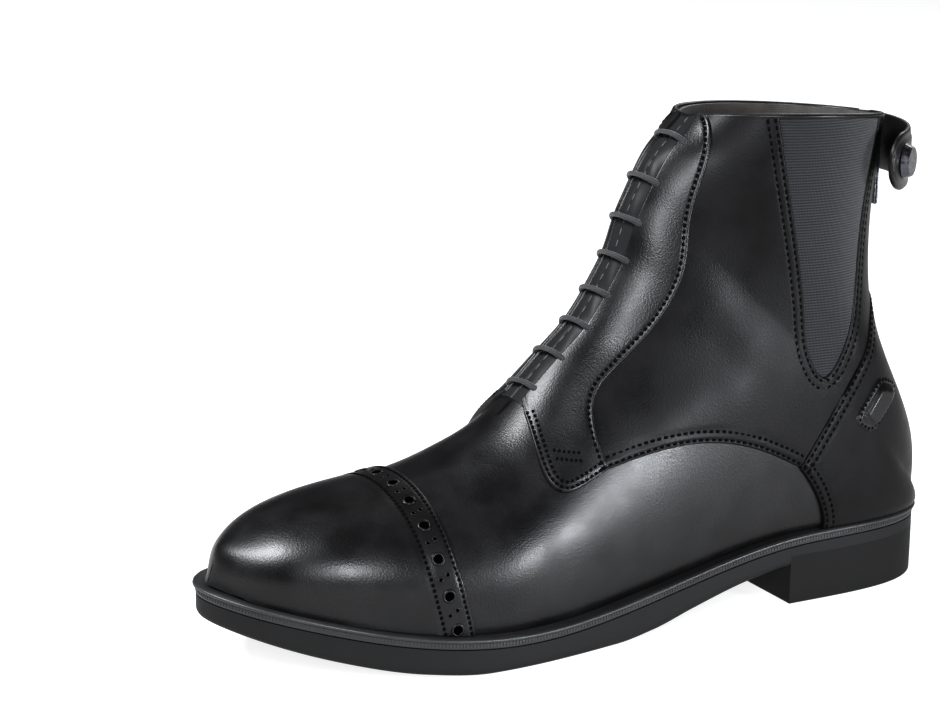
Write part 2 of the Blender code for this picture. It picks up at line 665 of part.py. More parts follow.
def make_toe_cap(look, floor):
    cap = form_object("toe_cap", last_form(GAP, lambda s, q: s > TOE_CAP_UP_TO), TOE_CAP, look)
    outline = [*edge_line(TOE_CAP_EDGE), (BEYOND_TOE * SOLE_LENGTH, TOE_CAP_EDGE[-1][1] * SHAFT_HEIGHT),
               (BEYOND_TOE * SOLE_LENGTH, TOE_CAP_EDGE[0][1] * SHAFT_HEIGHT)]
    cut(cap, side_prism("toe_cap_outline", outline, -BALL_WIDTH, BALL_WIDTH), "INTERSECT")
    return cut(cap, floor, "DIFFERENCE")


def make_counter(look, floor):
    counter = form_object("heel_counter", last_form(GAP, lambda s, q: s < COUNTER_FROM), COUNTER, look)
    outline = [*edge_line(COUNTER_EDGE)[::-1], *edge_line(COUNTER_FRONT)[1:],
               (BACK_OF_BOOT * SOLE_LENGTH, COUNTER_FRONT[-1][1] * SHAFT_HEIGHT)]
    cut(counter, side_prism("counter_outline", outline, -BALL_WIDTH, BALL_WIDTH), "INTERSECT")
    return cut(counter, floor, "DIFFERENCE")


def back_box(name, half, low, high):
    """A guide box over the back seam: half its width, and its heights."""
    bm = bmesh.new()
    bmesh.ops.create_cube(bm, size=1)
    deep = 0.30 * SOLE_LENGTH
    centre = (0, SOLE_LENGTH / 2 - deep / 3, (low + high) / 2)
    bm.transform(Matrix.Translation(centre) @ Matrix.Diagonal((2 * half, deep, high - low, 1)))
    return add_object(name, finished(bm, name), guide=True)


ZIP_BOTTOM = (COUNTER_EDGE[-1][1] * SHAFT_HEIGHT) + 3 * GAP
CHAIN_LIFT = 2 * GAP + ZIP_TAPE


def zip_skip(s, q):
    return s < SHAFT_FROM or abs(q) < ZIP_REACH


def make_zip(tape_look, chain_look):
    tape = form_object("zip_tape", last_form(GAP, zip_skip), ZIP_TAPE, tape_look)
    cut(tape, back_box("tape_outline", ZIP_TAPE_WIDTH / 2, ZIP_BOTTOM, 2 * SHAFT_HEIGHT), "INTERSECT")
    chain = form_object("zip_chain", last_form(CHAIN_LIFT, zip_skip), ZIP_CHAIN, chain_look)
    top = slider_height() - SLIDER_LENGTH / 2 - 3 * GAP
    cut(chain, back_box("chain_outline", ZIP_CHAIN_WIDTH / 2, ZIP_BOTTOM, top), "INTERSECT")


def back_seam(height):
    """The back seam's point at a height."""
    line = upper_point(np.linspace(SEAT_ROW / LAST_ROW, 1, 60), np.ones(60))
    return Vector((0, np.interp(height, line[:, 2], line[:, 1]), height))


def slider_height():
    return COLLAR_BACK_HEIGHT - SLIDER_LENGTH


def box_mesh(name, size, bevel):
    bm = bmesh.new()
    bmesh.ops.create_cube(bm, size=1)
    bm.transform(Matrix.Diagonal((*size, 1)))
    bmesh.ops.bevel(bm, geom=bm.edges[:], offset=bevel, segments=2, affect="EDGES")
    return finished(bm, name)


def make_slider(look):
    """Slider body at the chain's top, with the pull tab hanging from a pin above its middle."""
    low, high = back_seam(slider_height() - SLIDER_LENGTH / 2), back_seam(slider_height() + SLIDER_LENGTH / 2)
    lean = np.arctan2(low.y - high.y, high.z - low.z)
    outward = Vector((0, np.cos(lean), np.sin(lean)))
    foot = (low + high) / 2 + outward * (CHAIN_LIFT + 2 * GAP)
    slider_mesh = box_mesh("zip_slider", (SLIDER_WIDTH, SLIDER_DEPTH, SLIDER_LENGTH), METAL_ROUND)
    slider = add_object("zip_slider", slider_mesh, look)
    slider.location = foot + outward * SLIDER_DEPTH / 2
    slider.rotation_euler.x = lean
    pull = box_mesh("zip_pull", (PULL_WIDTH, PULL_THICKNESS, PULL_LENGTH), PULL_ROUND)
    for vert in pull.vertices:
        vert.co.z -= PULL_LENGTH / 2 - PULL_PIN
    tab = add_object("zip_pull", pull, look)
    tab.location = foot + outward * (SLIDER_DEPTH + GAP + PULL_THICKNESS)


def level_point(q, height):
    """The upper's outer face at a height near the collar, in plan."""
    line = upper_point(np.linspace(0.75, 1, 26), np.full(26, q))
    return np.array([np.interp(height, line[:, 2], line[:, axis]) for axis in (0, 1)])


def strap_path(share):
    """Plan of the strap round the back, from its sewn inner end (0) to its stud end (1)."""
    reach = np.interp(share, (0, 1), STRAP_SHARES)
    before, here, after = (
        level_point(2 - spot if spot > 1 else -spot, STRAP_MIDDLE + STRAP_HEIGHT / 2)
        for spot in (reach - NEAR, reach, reach + NEAR)
    )
    along = after - before
    outward = np.array([-along[1], along[0]]) / np.hypot(*along)
    if outward @ (here - (0, SOLE_LENGTH * 0.28)) < 0:
        outward = -outward
    return here + outward * (2 * GAP + PANEL + STRAP_STAND_OFF * np.clip((share - 0.10) / 0.25, 0, 1) ** 1.5)


def make_strap(look, metal):
    """Snap strap over the zip's top: a flat band with a round end."""
    count = 26
    shares = np.linspace(0, 1, count)
    points = np.array([strap_path(share) for share in shares])
    run = np.r_[0, np.cumsum(np.hypot(*np.diff(points, axis=0).T))]
    radius = STRAP_HEIGHT / 2
    bm = bmesh.new()
    grid = []
    for point, gone in zip(points, run):
        left = run[-1] - gone
        half = radius if left > radius else np.sqrt(max(radius**2 - (radius - left) ** 2, (0.15 * radius) ** 2))
        grid.append([bm.verts.new((point[0], point[1], STRAP_MIDDLE + half * across)) for across in (-1, 0, 1)])
    for low, high in zip(grid, grid[1:]):
        for j in range(2):
            bm.faces.new((low[j], low[j + 1], high[j + 1], high[j]))
    form_object("snap_strap", bm, STRAP_THICKNESS, look)
    tangent = points[-2] - points[-6]
    normal = Vector((tangent[1], -tangent[0], 0)).normalized()
    if normal.x < 0:
        normal = -normal
    centre_share = np.interp(run[-1] - radius, run, shares)
    centre = Vector((*strap_path(centre_share), STRAP_MIDDLE)) + normal * (STRAP_THICKNESS + GAP)
    bm = bmesh.new()
    bmesh.ops.create_cone(bm, cap_ends=True, segments=24, radius1=STUD_RADIUS, radius2=STUD_RADIUS * 0.8,
                          depth=STUD_HEIGHT)
    bm.transform(Matrix.Translation((0, 0, STUD_HEIGHT / 2)))
    stud = add_object("snap_stud", finished(bm, "snap_stud"), metal)
    stud.rotation_euler = normal.to_track_quat("Z", "Y").to_euler()
    stud.location = centre


def make_spur_rests(look):
    lift = 2 * GAP + COUNTER
    for name, side in (("spur_rest_outer", 1), ("spur_rest_inner", -1)):
        form = side_form(lift, side, *SPUR_RESTS, 1)
        rest = form_object(name, form, SPUR_REST_THICKNESS, look)
        outline = np.array(SPUR_REST) * (SOLE_LENGTH, SHAFT_HEIGHT)
        cut(rest, side_prism(name + "_outline", outline, *side_range(side)), "INTERSECT")
    form = last_form(lift, lambda s, q: s < REAR_REST_FROM or abs(q) < REAR_REST_FROM)
    rear = form_object("spur_rest_rear", form, REAR_REST_THICKNESS, look)
    low, high = np.array(REAR_REST) * SHAFT_HEIGHT
    cut(rear, back_box("rear_outline", REAR_REST_WIDTH / 2, low, high), "INTERSECT")


def round_cord(name, points, radius, look, cyclic=False):
    """A tube along points; a cyclic one is a plain ring with fewer sides."""
    curve = bpy.data.curves.new(name, "CURVE")
    curve.dimensions = "3D"
    curve.bevel_depth = radius
    curve.bevel_resolution = 1 if cyclic else 2
    curve.use_fill_caps = not cyclic
    spline = curve.splines.new("POLY")
    spline.points.add(len(points) - 1)
    for spot, point in zip(spline.points, points):
        spot.co = (*point, 1)
    spline.use_cyclic_u = cyclic
    obj = bpy.data.objects.new(name, curve)
    curve.materials.append(look)
    PARTS.objects.link(obj)
    obj.parent = STAND
    return obj


def ridge_places():
    """Sections of the lace bars, evenly spaced up the throat."""
    s = np.linspace(THROAT_ROW / LAST_ROW, 1, 200)
    ridge = upper_point(s, np.zeros(200))
    run = np.r_[0, np.cumsum(np.linalg.norm(np.diff(ridge, axis=0), axis=1))]
    return np.interp(np.linspace(*LACE_SHARES, LACE_BARS) * run[-1], run, s)


def make_laces(look):
    """Short elastic bars across the facings."""
    for index, s in enumerate(ridge_places()[::-1], 1):
        girth = np.linspace(-1, 1, 7)
        half_girth = np.linalg.norm(upper_point(s, 0.05) - upper_point(s, 0.0)) / 0.05
        q = girth * LACE_SPAN / 2 / half_girth
        skin = upper_point(s, q)
        lift = GAP + FACING + GAP + LACE_RADIUS + LACE_RISE * np.cos(girth * np.pi / 2)
        across = upper_point(s, q + NEAR) - upper_point(s, q - NEAR)
        upwards = upper_point(s + NEAR, q) - upper_point(s - NEAR, q)
        outward = np.cross(across, upwards)
        outward /= np.linalg.norm(outward, axis=1)[:, None]
        round_cord(f"lace_bar_{index}", skin + outward * lift[:, None], LACE_RADIUS, look)


def make_binding(look):
    q = np.linspace(-1, 1, 37)[:-1]
    rim = upper_point(np.ones(36), q)
    middle = rim.mean(axis=0)
    inward = (middle - rim) * (1, 1, 0)
    inward /= np.linalg.norm(inward, axis=1)[:, None]
    points = rim + inward * (WALL - PANEL) / 2 + np.array([0, 0, BINDING + 4 * GAP])
    round_cord("collar_binding", points, BINDING, look, cyclic=True)


def centre_over_origin():
    """Moves the whole boot so that its box stands centred on the origin."""
    bpy.context.view_layer.update()
    graph = bpy.context.evaluated_depsgraph_get()
    ends = []
    for obj in PARTS.objects:
        if obj.type == "EMPTY":
            continue
        evaluated = obj.evaluated_get(graph)
        points = np.array([obj.matrix_world @ vert.co for vert in evaluated.to_mesh().vertices])
        evaluated.to_mesh_clear()
        ends += [points.min(axis=0), points.max(axis=0)]
    low, high = np.min(ends, axis=0), np.max(ends, axis=0)
    STAND.location = (-(low[0] + high[0]) / 2, -(low[1] + high[1]) / 2, -low[2])


clear_scene()
STAND = bpy.data.objects.new("stand", None)
PARTS.objects.link(STAND)
LEATHER = material("black leather", (0.012, 0.012, 0.013), 0.36)
RUBBER = material("black moulded rubber", (0.022, 0.022, 0.024), 0.62)
EDGE = material("polished welt", (0.014, 0.014, 0.015), 0.30)
LINING = material("dark grey lining", (0.050, 0.046, 0.043), 0.85)
RIBBED = material("black elastic", (0.020, 0.021, 0.023), 0.80)
CORD = material("black cord", (0.016, 0.016, 0.017), 0.55)
METAL = material("dark metal", (0.20, 0.20, 0.21), 0.32, 1.0)

FLOOR = sole_floor()
make_outsole(RUBBER)
make_welt(EDGE)
make_insole(LINING)
make_upper(LEATHER, FLOOR)
make_tongue(LEATHER)
make_toe_cap(LEATHER, FLOOR)
make_counter(LEATHER, FLOOR)
for piece_name, piece_side in (("outer", 1), ("inner", -1)):
    make_facing("facing_" + piece_name, piece_side, LEATHER)
    make_quarter("quarter_" + piece_name, piece_side, LEATHER)
    make_gusset("gusset_" + piece_name, piece_side, RIBBED)
make_binding(LEATHER)
make_laces(CORD)
make_zip(RIBBED, METAL)
make_slider(METAL)
make_strap(LEATHER, METAL)
make_spur_rests(LEATHER)
centre_over_origin()
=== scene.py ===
import bpy
import bmesh
import numpy as np
from mathutils import Matrix, Vector


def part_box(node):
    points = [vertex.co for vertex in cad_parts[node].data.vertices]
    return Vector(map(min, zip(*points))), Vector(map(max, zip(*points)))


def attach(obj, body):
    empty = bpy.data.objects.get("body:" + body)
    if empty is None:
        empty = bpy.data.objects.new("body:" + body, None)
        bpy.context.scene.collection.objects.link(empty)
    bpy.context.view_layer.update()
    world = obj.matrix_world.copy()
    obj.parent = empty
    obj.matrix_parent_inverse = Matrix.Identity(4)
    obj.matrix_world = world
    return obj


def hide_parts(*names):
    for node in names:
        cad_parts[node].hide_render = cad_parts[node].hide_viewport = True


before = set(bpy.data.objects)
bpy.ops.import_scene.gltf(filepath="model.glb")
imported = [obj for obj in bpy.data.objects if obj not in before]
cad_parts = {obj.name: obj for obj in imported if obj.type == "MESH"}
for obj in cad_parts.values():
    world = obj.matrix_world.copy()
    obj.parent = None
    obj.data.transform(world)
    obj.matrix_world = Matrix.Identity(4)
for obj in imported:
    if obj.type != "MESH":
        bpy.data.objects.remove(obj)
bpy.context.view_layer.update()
MM = 0.001

# Studio
# A pale floor, a large soft light over the toe, narrow ones by the leg and the heel, and a dim one behind.
# The camera stands where the photograph's did, at the same angle and roll, about a metre away.
CAMERA_DISTANCE = 1.0
CAMERA_AZIMUTH = 1.04683
CAMERA_ELEVATION = 0.26548
CAMERA_ROLL = 0.02522
FOCAL_PIXELS = 2797.3
PICTURE_WIDTH, PICTURE_HEIGHT = 940, 712
SENSOR = 36
FLOOR_REACH = 6
AXIS_PIXEL = (579.9, 396.06)
AIM = Vector((0, 0, 0.080))


# name, azimuth and elevation in degrees, distance, width and height, power, colour
LIGHTS = [
    ("toe light", -19, 47, 1.5, (0.60, 0.45), 46, (0.96, 0.98, 1.0)),
    ("facing light", 60, 27, 1.5, (0.16, 0.5), 24, (0.95, 0.97, 1.0)),
    ("side light", 121, 6, 1.4, (0.24, 0.18), 24, (0.93, 0.96, 1.0)),
    ("back light", -140, 35, 1.5, (0.8, 0.6), 8.0, (1.0, 0.99, 0.98)),
]


def direction(azimuth, elevation):
    """The way out at an azimuth (0 ahead of the toe, a quarter turn on the outer side) and an elevation."""
    level = np.cos(elevation)
    return Vector((np.sin(azimuth) * level, -np.cos(azimuth) * level, np.sin(elevation)))


camera = bpy.data.objects.new("camera", bpy.data.cameras.new("camera"))
bpy.context.scene.collection.objects.link(camera)
bpy.context.scene.camera = camera
outward = direction(CAMERA_AZIMUTH, CAMERA_ELEVATION)
camera.location = AIM + outward * CAMERA_DISTANCE
turn = (-outward).to_track_quat("-Z", "Y").to_matrix().to_4x4()
camera.rotation_euler = (turn @ Matrix.Rotation(CAMERA_ROLL, 4, "Z")).to_euler()
camera.data.sensor_width = SENSOR
camera.data.lens = FOCAL_PIXELS / PICTURE_WIDTH * SENSOR
camera.data.shift_x = (PICTURE_WIDTH / 2 - AXIS_PIXEL[0]) / PICTURE_WIDTH
camera.data.shift_y = (AXIS_PIXEL[1] - PICTURE_HEIGHT / 2) / PICTURE_WIDTH
camera.data.clip_start = 0.05

for name, azimuth, elevation, distance, size, power, colour in LIGHTS:
    lamp = bpy.data.lights.new(name, "AREA")
    lamp.shape = "RECTANGLE"
    lamp.size, lamp.size_y = size
    lamp.energy = power
    lamp.color = colour
    made = bpy.data.objects.new(name, lamp)
    made.location = AIM + distance * direction(*np.radians((azimuth, elevation)))
    made.rotation_euler = (AIM - made.location).to_track_quat("-Z", "Y").to_euler()
    bpy.context.scene.collection.objects.link(made)
world = bpy.data.worlds.new("studio")
bpy.context.scene.world = world
world.use_nodes = True
world.node_tree.nodes["Background"].inputs["Color"].default_value = (0.92, 0.95, 1.0, 1)
world.node_tree.nodes["Background"].inputs["Strength"].default_value = 0.10
bpy.context.scene.view_settings.view_transform = "Standard"
bpy.context.scene.view_settings.gamma = 0.78

floor_mesh = bpy.data.meshes.new("floor")
floor_corners = [(x * FLOOR_REACH, y * FLOOR_REACH, 0) for x, y in ((-1, -1), (1, -1), (1, 1), (-1, 1))]
floor_mesh.from_pydata(floor_corners, [], [(0, 1, 2, 3)])
floor = bpy.data.objects.new("floor", floor_mesh)
bpy.context.scene.collection.objects.link(floor)
floor_look = bpy.data.materials.new("pale floor")
floor_look.use_nodes = True
floor_shader = floor_look.node_tree.nodes["Principled BSDF"]
floor_shader.inputs["Base Color"].default_value = (0.30, 0.30, 0.30, 1)
floor_shader.inputs["Roughness"].default_value = 0.6
floor_shader.inputs["Emission Color"].default_value = (1, 1, 1, 1)
floor_shader.inputs["Emission Strength"].default_value = 0.86
floor_mesh.materials.append(floor_look)

# Last
# The boot is made over a wooden last: a sole outline, a seat line and nineteen sections from toe to collar.
# All leather is stretched to this one smooth surface, with s from the toe (0) to the collar (1) and q from
# the ridge (0) round to the sole's edge or the back seam (1 on the outer side, -1 on the inner).
SOLE_LENGTH = 290 * MM
BALL_WIDTH = 98 * MM
HEEL_WIDTH = 62 * MM
HEEL_LENGTH = 72 * MM
HEEL_SEAT = 26.8 * MM
INSTEP_HEIGHT = 83.7 * MM
SHAFT_HEIGHT = 178.3 * MM
COLLAR_BACK_HEIGHT = 175 * MM
SHAFT_WIDTH = 72 * MM
COLLAR_RISE = 5.4 * MM
COLLAR_FALL = 2.5 * MM
WELT_REACH = 5.2 * MM
HEEL_WELT_REACH = 3.2 * MM
GAP = 0.3 * MM

# along (share of SOLE_LENGTH), across (share of the width named), from the heel's back, outer side first
OUTLINE = [
    (0.000, 0.000, HEEL_WIDTH), (0.016, 0.245, HEEL_WIDTH), (0.052, 0.395, HEEL_WIDTH),
    (0.105, 0.479, HEEL_WIDTH), (0.175, 0.514, HEEL_WIDTH), (0.250, 0.526, HEEL_WIDTH),
    (0.380, 0.363, BALL_WIDTH), (0.520, 0.437, BALL_WIDTH), (0.620, 0.487, BALL_WIDTH),
    (0.690, 0.500, BALL_WIDTH), (0.760, 0.482, BALL_WIDTH), (0.830, 0.425, BALL_WIDTH),
    (0.895, 0.327, BALL_WIDTH), (0.950, 0.205, BALL_WIDTH), (0.985, 0.075, BALL_WIDTH),
    (1.000, -0.060, BALL_WIDTH), (0.985, -0.195, BALL_WIDTH), (0.950, -0.318, BALL_WIDTH),
    (0.900, -0.405, BALL_WIDTH), (0.840, -0.465, BALL_WIDTH), (0.770, -0.498, BALL_WIDTH),
    (0.700, -0.487, BALL_WIDTH), (0.620, -0.425, BALL_WIDTH), (0.520, -0.328, BALL_WIDTH),
    (0.380, -0.276, BALL_WIDTH), (0.250, -0.474, HEEL_WIDTH), (0.175, -0.493, HEEL_WIDTH),
    (0.105, -0.474, HEEL_WIDTH), (0.052, -0.395, HEEL_WIDTH), (0.016, -0.245, HEEL_WIDTH),
]
# along (share of SOLE_LENGTH), height (share of HEEL_SEAT) of the surface that the upper meets
SEAT_LINE = [
    (0.00, 1.000), (0.15, 1.004), (0.25, 0.970), (0.38, 0.765), (0.52, 0.552),
    (0.66, 0.478), (0.78, 0.597), (0.90, 0.832), (1.00, 1.056),
]
# foot and ridge along (share of SOLE_LENGTH), ridge height (share of INSTEP_HEIGHT), ridge across,
# outer and inner half-width (share of BALL_WIDTH), height of the widest place, crest (share of the section)
VAMP_ROWS = [
    (0.9830, 0.9721, 0.430, -0.061, -0.061, -0.061, 0.40, 0.00),
    (0.9690, 0.9655, 0.474, -0.061, 0.031, -0.143, 0.40, 0.00),
    (0.9483, 0.9440, 0.523, -0.056, 0.137, -0.239, 0.38, -0.05),
    (0.9034, 0.9005, 0.599, -0.051, 0.257, -0.334, 0.36, -0.05),
    (0.8276, 0.8265, 0.662, -0.031, 0.370, -0.410, 0.34, -0.03),
    (0.7414, 0.7390, 0.713, -0.010, 0.439, -0.449, 0.30, 0.00),
    (0.6552, 0.6620, 0.824, 0.010, 0.458, -0.428, 0.28, 0.06),
    (0.5517, 0.6006, 0.992, 0.031, 0.424, -0.373, 0.28, 0.12),
]
# foot along, back seam's rise (share), ridge along, ridge height (share of the rise from instep to collar),
# ridge across, outer and inner half-width (share of SHAFT_WIDTH), height of the widest place, crest
SHAFT_ROWS = [
    (0.4483, 0.000, 0.5570, 0.140, 0.063, 0.524, -0.461, 0.30, 0.14),
    (0.3379, 0.000, 0.5164, 0.268, 0.069, 0.489, -0.440, 0.34, 0.13),
    (0.2276, 0.000, 0.4871, 0.404, 0.069, 0.475, -0.440, 0.38, 0.12),
    (0.1310, 0.000, 0.4656, 0.528, 0.069, 0.468, -0.440, 0.42, 0.10),
    (0.0621, 0.000, 0.4531, 0.645, 0.069, 0.461, -0.440, 0.45, 0.08),
    (0.0110, 0.000, 0.4382, 0.746, 0.069, 0.454, -0.440, 0.46, 0.06),
    (0.0175, 0.156, 0.4234, 0.825, 0.069, 0.454, -0.447, 0.47, 0.04),
    (0.0620, 0.337, 0.4068, 0.889, 0.063, 0.454, -0.454, 0.48, 0.02),
    (0.0959, 0.513, 0.3897, 0.930, 0.056, 0.461, -0.461, 0.49, 0.00),
    (0.1048, 0.749, 0.3728, 0.965, 0.042, 0.475, -0.475, 0.50, 0.00),
    (0.0924, 1.000, 0.3578, 1.000, 0.028, 0.489, -0.489, 0.50, 0.00),
]
THROAT_ROW = len(VAMP_ROWS) - 1
LAST_ROW = len(VAMP_ROWS) + len(SHAFT_ROWS) - 1
SEAT_ROW = LAST_ROW - 5
COLLAR_ROW = LAST_ROW - 4
SEAT = SEAT_ROW / LAST_ROW
THROAT = THROAT_ROW / LAST_ROW


def natural_spline(knots, values, at):
    """Cubic curve through (knots, values) with no bend at its ends; values may have columns."""
    x = np.asarray(knots, float)
    y = np.asarray(values, float)
    flat = y.ndim == 1
    y = y[:, None] if flat else y
    count = len(x)
    step = np.diff(x)
    slope = np.diff(y, axis=0) / step[:, None]
    matrix = np.eye(count)
    inner = np.arange(1, count - 1)
    matrix[inner, inner - 1] = step[:-1]
    matrix[inner, inner] = 2 * (step[:-1] + step[1:])
    matrix[inner, inner + 1] = step[1:]
    right = np.zeros_like(y)
    right[1:-1] = 6 * np.diff(slope, axis=0)
    bend = np.linalg.solve(matrix, right)
    at = np.clip(np.asarray(at, float), x[0], x[-1])
    k = np.clip(np.searchsorted(x, at, side="right") - 1, 0, count - 2)
    into = (at - x[k])[..., None]
    span = step[k][..., None]
    left = span - into
    out = (bend[k] * left**3 + bend[k + 1] * into**3) / (6 * span)
    out = out + (y[k] / span - bend[k] * span / 6) * left + (y[k + 1] / span - bend[k + 1] * span / 6) * into
    return out[..., 0] if flat else out


def run_of(points):
    """Length along a line of points, from 0."""
    return np.r_[0, np.cumsum(np.linalg.norm(np.diff(points, axis=0), axis=1))]


OUTLINE_POINTS, HALF_POINTS = 1600, 600


def outline_fine(inset):
    """The sole's outline as OUTLINE_POINTS points, moved inwards by inset, a length or a function of along."""
    rows = np.array([(along * SOLE_LENGTH, across * width) for along, across, width in OUTLINE])
    closed = np.vstack([rows[-3:], rows, rows[:4]])
    run = run_of(closed)
    fine = natural_spline(run, closed, np.linspace(run[3], run[3 + len(rows)], OUTLINE_POINTS + 1))[:-1]
    ahead = np.roll(fine, -1, 0) - np.roll(fine, 1, 0)
    ahead /= np.hypot(*ahead.T)[:, None]
    depth = inset(fine[:, 0]) if callable(inset) else inset
    return fine + np.stack([ahead[:, 1], -ahead[:, 0]], 1) * np.reshape(depth, (-1, 1))


def welt_reach(along):
    """How far the welt stands out beyond the upper: less round the heel."""
    share = np.clip(along / HEEL_LENGTH - 0.5, 0, 1)
    return HEEL_WELT_REACH + (WELT_REACH - HEEL_WELT_REACH) * share**2 * (3 - 2 * share)


def half_outlines(fine):
    """Outer half from heel to toe and inner half from heel to toe, each as points even in length."""
    tip = fine[:, 0].argmax()
    halves = []
    for part in (fine[: tip + 1], np.vstack([fine[tip:], fine[:1]])[::-1]):
        run = run_of(part)
        even = np.linspace(0, run[-1], HALF_POINTS)
        halves.append(np.stack([np.interp(even, run, part[:, 0]), np.interp(even, run, part[:, 1])], 1))
    return halves


def seat_height(along):
    """Height of the sole's top, where the upper stands."""
    table = np.array(SEAT_LINE)
    return natural_spline(table[:, 0], table[:, 1], along / SOLE_LENGTH) * HEEL_SEAT


welt_low, welt_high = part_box("welt")
plain = outline_fine(0.0)
SHIFT = np.array([
    (welt_low.x + welt_high.x) / 2 - (plain[:, 1].max() + plain[:, 1].min()) / 2,
    (welt_low.y + welt_high.y) / 2,
    0.0,
])
FEATHER = half_outlines(outline_fine(welt_reach))


def placed(across, along, up):
    """Points in the boot's own frame from across, along and up."""
    return np.stack([across, SOLE_LENGTH / 2 - along, up], -1) + SHIFT


def section_ends(s, side):
    """Lowest and highest point and shape of the sections at s on one side."""
    half = FEATHER[0 if side > 0 else 1]
    rows = np.arange(LAST_ROW + 1) / LAST_ROW
    feet = np.array([row[0] for row in VAMP_ROWS + SHAFT_ROWS]) * SOLE_LENGTH
    share = np.interp(feet[: SEAT_ROW + 1], half[:, 0], np.linspace(0, 1, len(half)))
    share[0], share[-1] = 1, 0
    share = np.r_[2 - share[3:0:-1], share, -share[-2:-5:-1]]
    knots = np.arange(-3, SEAT_ROW + 4) / LAST_ROW
    spot = np.clip(natural_spline(knots, share, s), 0, 1) * (len(half) - 1)
    low_along = np.interp(spot, np.arange(len(half)), half[:, 0])
    low_across = np.interp(spot, np.arange(len(half)), half[:, 1])
    rises = np.array([row[1] for row in SHAFT_ROWS]) * (COLLAR_BACK_HEIGHT - HEEL_SEAT)
    seam = natural_spline(
        rows[SEAT_ROW:], np.stack([feet[SEAT_ROW:], rises[SEAT_ROW - THROAT_ROW - 1 :]], 1), s
    )
    above = s > SEAT
    low_along = np.where(above, seam[..., 0], low_along)
    low_across = np.where(above, 0, low_across)
    low_up = seat_height(low_along) + np.where(above, np.maximum(seam[..., 1], 0), 0) + GAP
    shape = []
    for _, ridge, rise, shift, outer, inner, widest, crest in VAMP_ROWS:
        half_width = outer if side > 0 else inner
        shape.append([ridge * SOLE_LENGTH, rise * INSTEP_HEIGHT, shift * BALL_WIDTH,
                      (half_width - shift) * BALL_WIDTH, widest, crest])
    for _, _, ridge, rise, shift, outer, inner, widest, crest in SHAFT_ROWS:
        half_width = outer if side > 0 else inner
        up = INSTEP_HEIGHT + rise * (SHAFT_HEIGHT - INSTEP_HEIGHT)
        shape.append([ridge * SOLE_LENGTH, up, shift * SHAFT_WIDTH,
                      (half_width - shift) * SHAFT_WIDTH, widest, crest])
    shape = np.array(shape)
    shape[0, 3] = 0
    back = shape[3:0:-1].copy()
    back[:, 3] *= -1
    knots = np.arange(-3, LAST_ROW + 1) / LAST_ROW
    shape = natural_spline(knots, np.vstack([back, shape]), s)
    return low_along, low_across, low_up, shape


def profile(low_across, centre, reach, widest, crest, turn):
    """Across and height share of a section at turn: 0 on the ridge, 1 at the widest place, 2 at the foot. Above
    is a quarter of an ellipse made steeper by crest, and below another, from the widest place in to the foot."""
    upper = np.clip(turn, 0, 1) * np.pi / 2
    lower = np.clip(turn - 1, 0, 1) * np.pi / 2
    half = centre + reach
    upper_x = centre + reach * np.sin(upper) * (1 - crest * np.cos(upper) ** 2)
    lower_x = low_across + (half - low_across) * np.cos(lower)
    high = np.where(turn > 1, widest * (1 - np.sin(lower)), widest + (1 - widest) * np.cos(upper))
    return np.where(turn > 1, lower_x, upper_x), high


def section_points(s, side, turns):
    """Across, along and up of the sections at s: profile gives across and the share of the way to the ridge."""
    low_along, low_across, low_up, shape = section_ends(s, side)
    across, high = profile(*(value[:, None] for value in (low_across, *shape.T[2:])), turns)
    along = low_along[:, None] + (shape[:, 0] - low_along)[:, None] * high
    return across, along, low_up[:, None] + (shape[:, 1] - low_up)[:, None] * high


def section_run(s, side):
    """Share of a section's length at each of TURNS, a row for each s."""
    line = placed(*section_points(s, side, TURNS))
    run = np.cumsum(np.linalg.norm(np.diff(line, axis=1), axis=2), axis=1)
    run = np.concatenate([np.zeros((len(s), 1)), run], 1)
    return run / run[:, -1:]


MASTER_S, MASTER_Q = 541, 161
TURNS = np.linspace(0, 2, 121)[None, :]


def last_side(side):
    """One side of the last as a grid of MASTER_S by MASTER_Q points, even in length round each section."""
    s = np.linspace(0, 1, MASTER_S)
    places = np.linspace(0, 1, MASTER_Q)
    turns = np.array([np.interp(places, row, TURNS[0]) for row in section_run(s, side)])
    across, along, up = section_points(s, side, turns)
    near = np.clip((s * LAST_ROW - COLLAR_ROW) / (LAST_ROW - COLLAR_ROW), 0, 1)[:, None] ** 2
    outwards = np.clip(np.abs(across) / (SHAFT_WIDTH / 2), 0, 1)
    tilt = COLLAR_RISE * (1 - 0.4 * places**2) if side > 0 else -COLLAR_FALL * places
    return placed(across, along, up + near * outwards * tilt)


def padded_grid(grid):
    """The grid with two more rows and columns all round: past the toe and past the back seam it goes on along
    the other side, so that the surface and its normals are smooth there, and elsewhere straight on."""
    closed = (np.arange(MASTER_S) > SEAT * (MASTER_S - 1) + 0.5)[:, None, None]
    first, last = grid[:, 0], grid[:, -1]
    open_before = np.stack([3 * first - 2 * grid[:, 1], 2 * first - grid[:, 1]], 1)
    open_after = np.stack([2 * last - grid[:, -2], 3 * last - 2 * grid[:, -2]], 1)
    before = np.where(closed, grid[:, -3:-1], open_before)
    after = np.where(closed, grid[:, 1:3], open_after)
    wide = np.concatenate([before, grid, after], 1)
    ends = [2 * wide[-1:] - wide[-2:-1], 3 * wide[-1:] - 2 * wide[-2:-1]]
    return np.concatenate([wide[2:0:-1, ::-1], wide, *ends], 0)


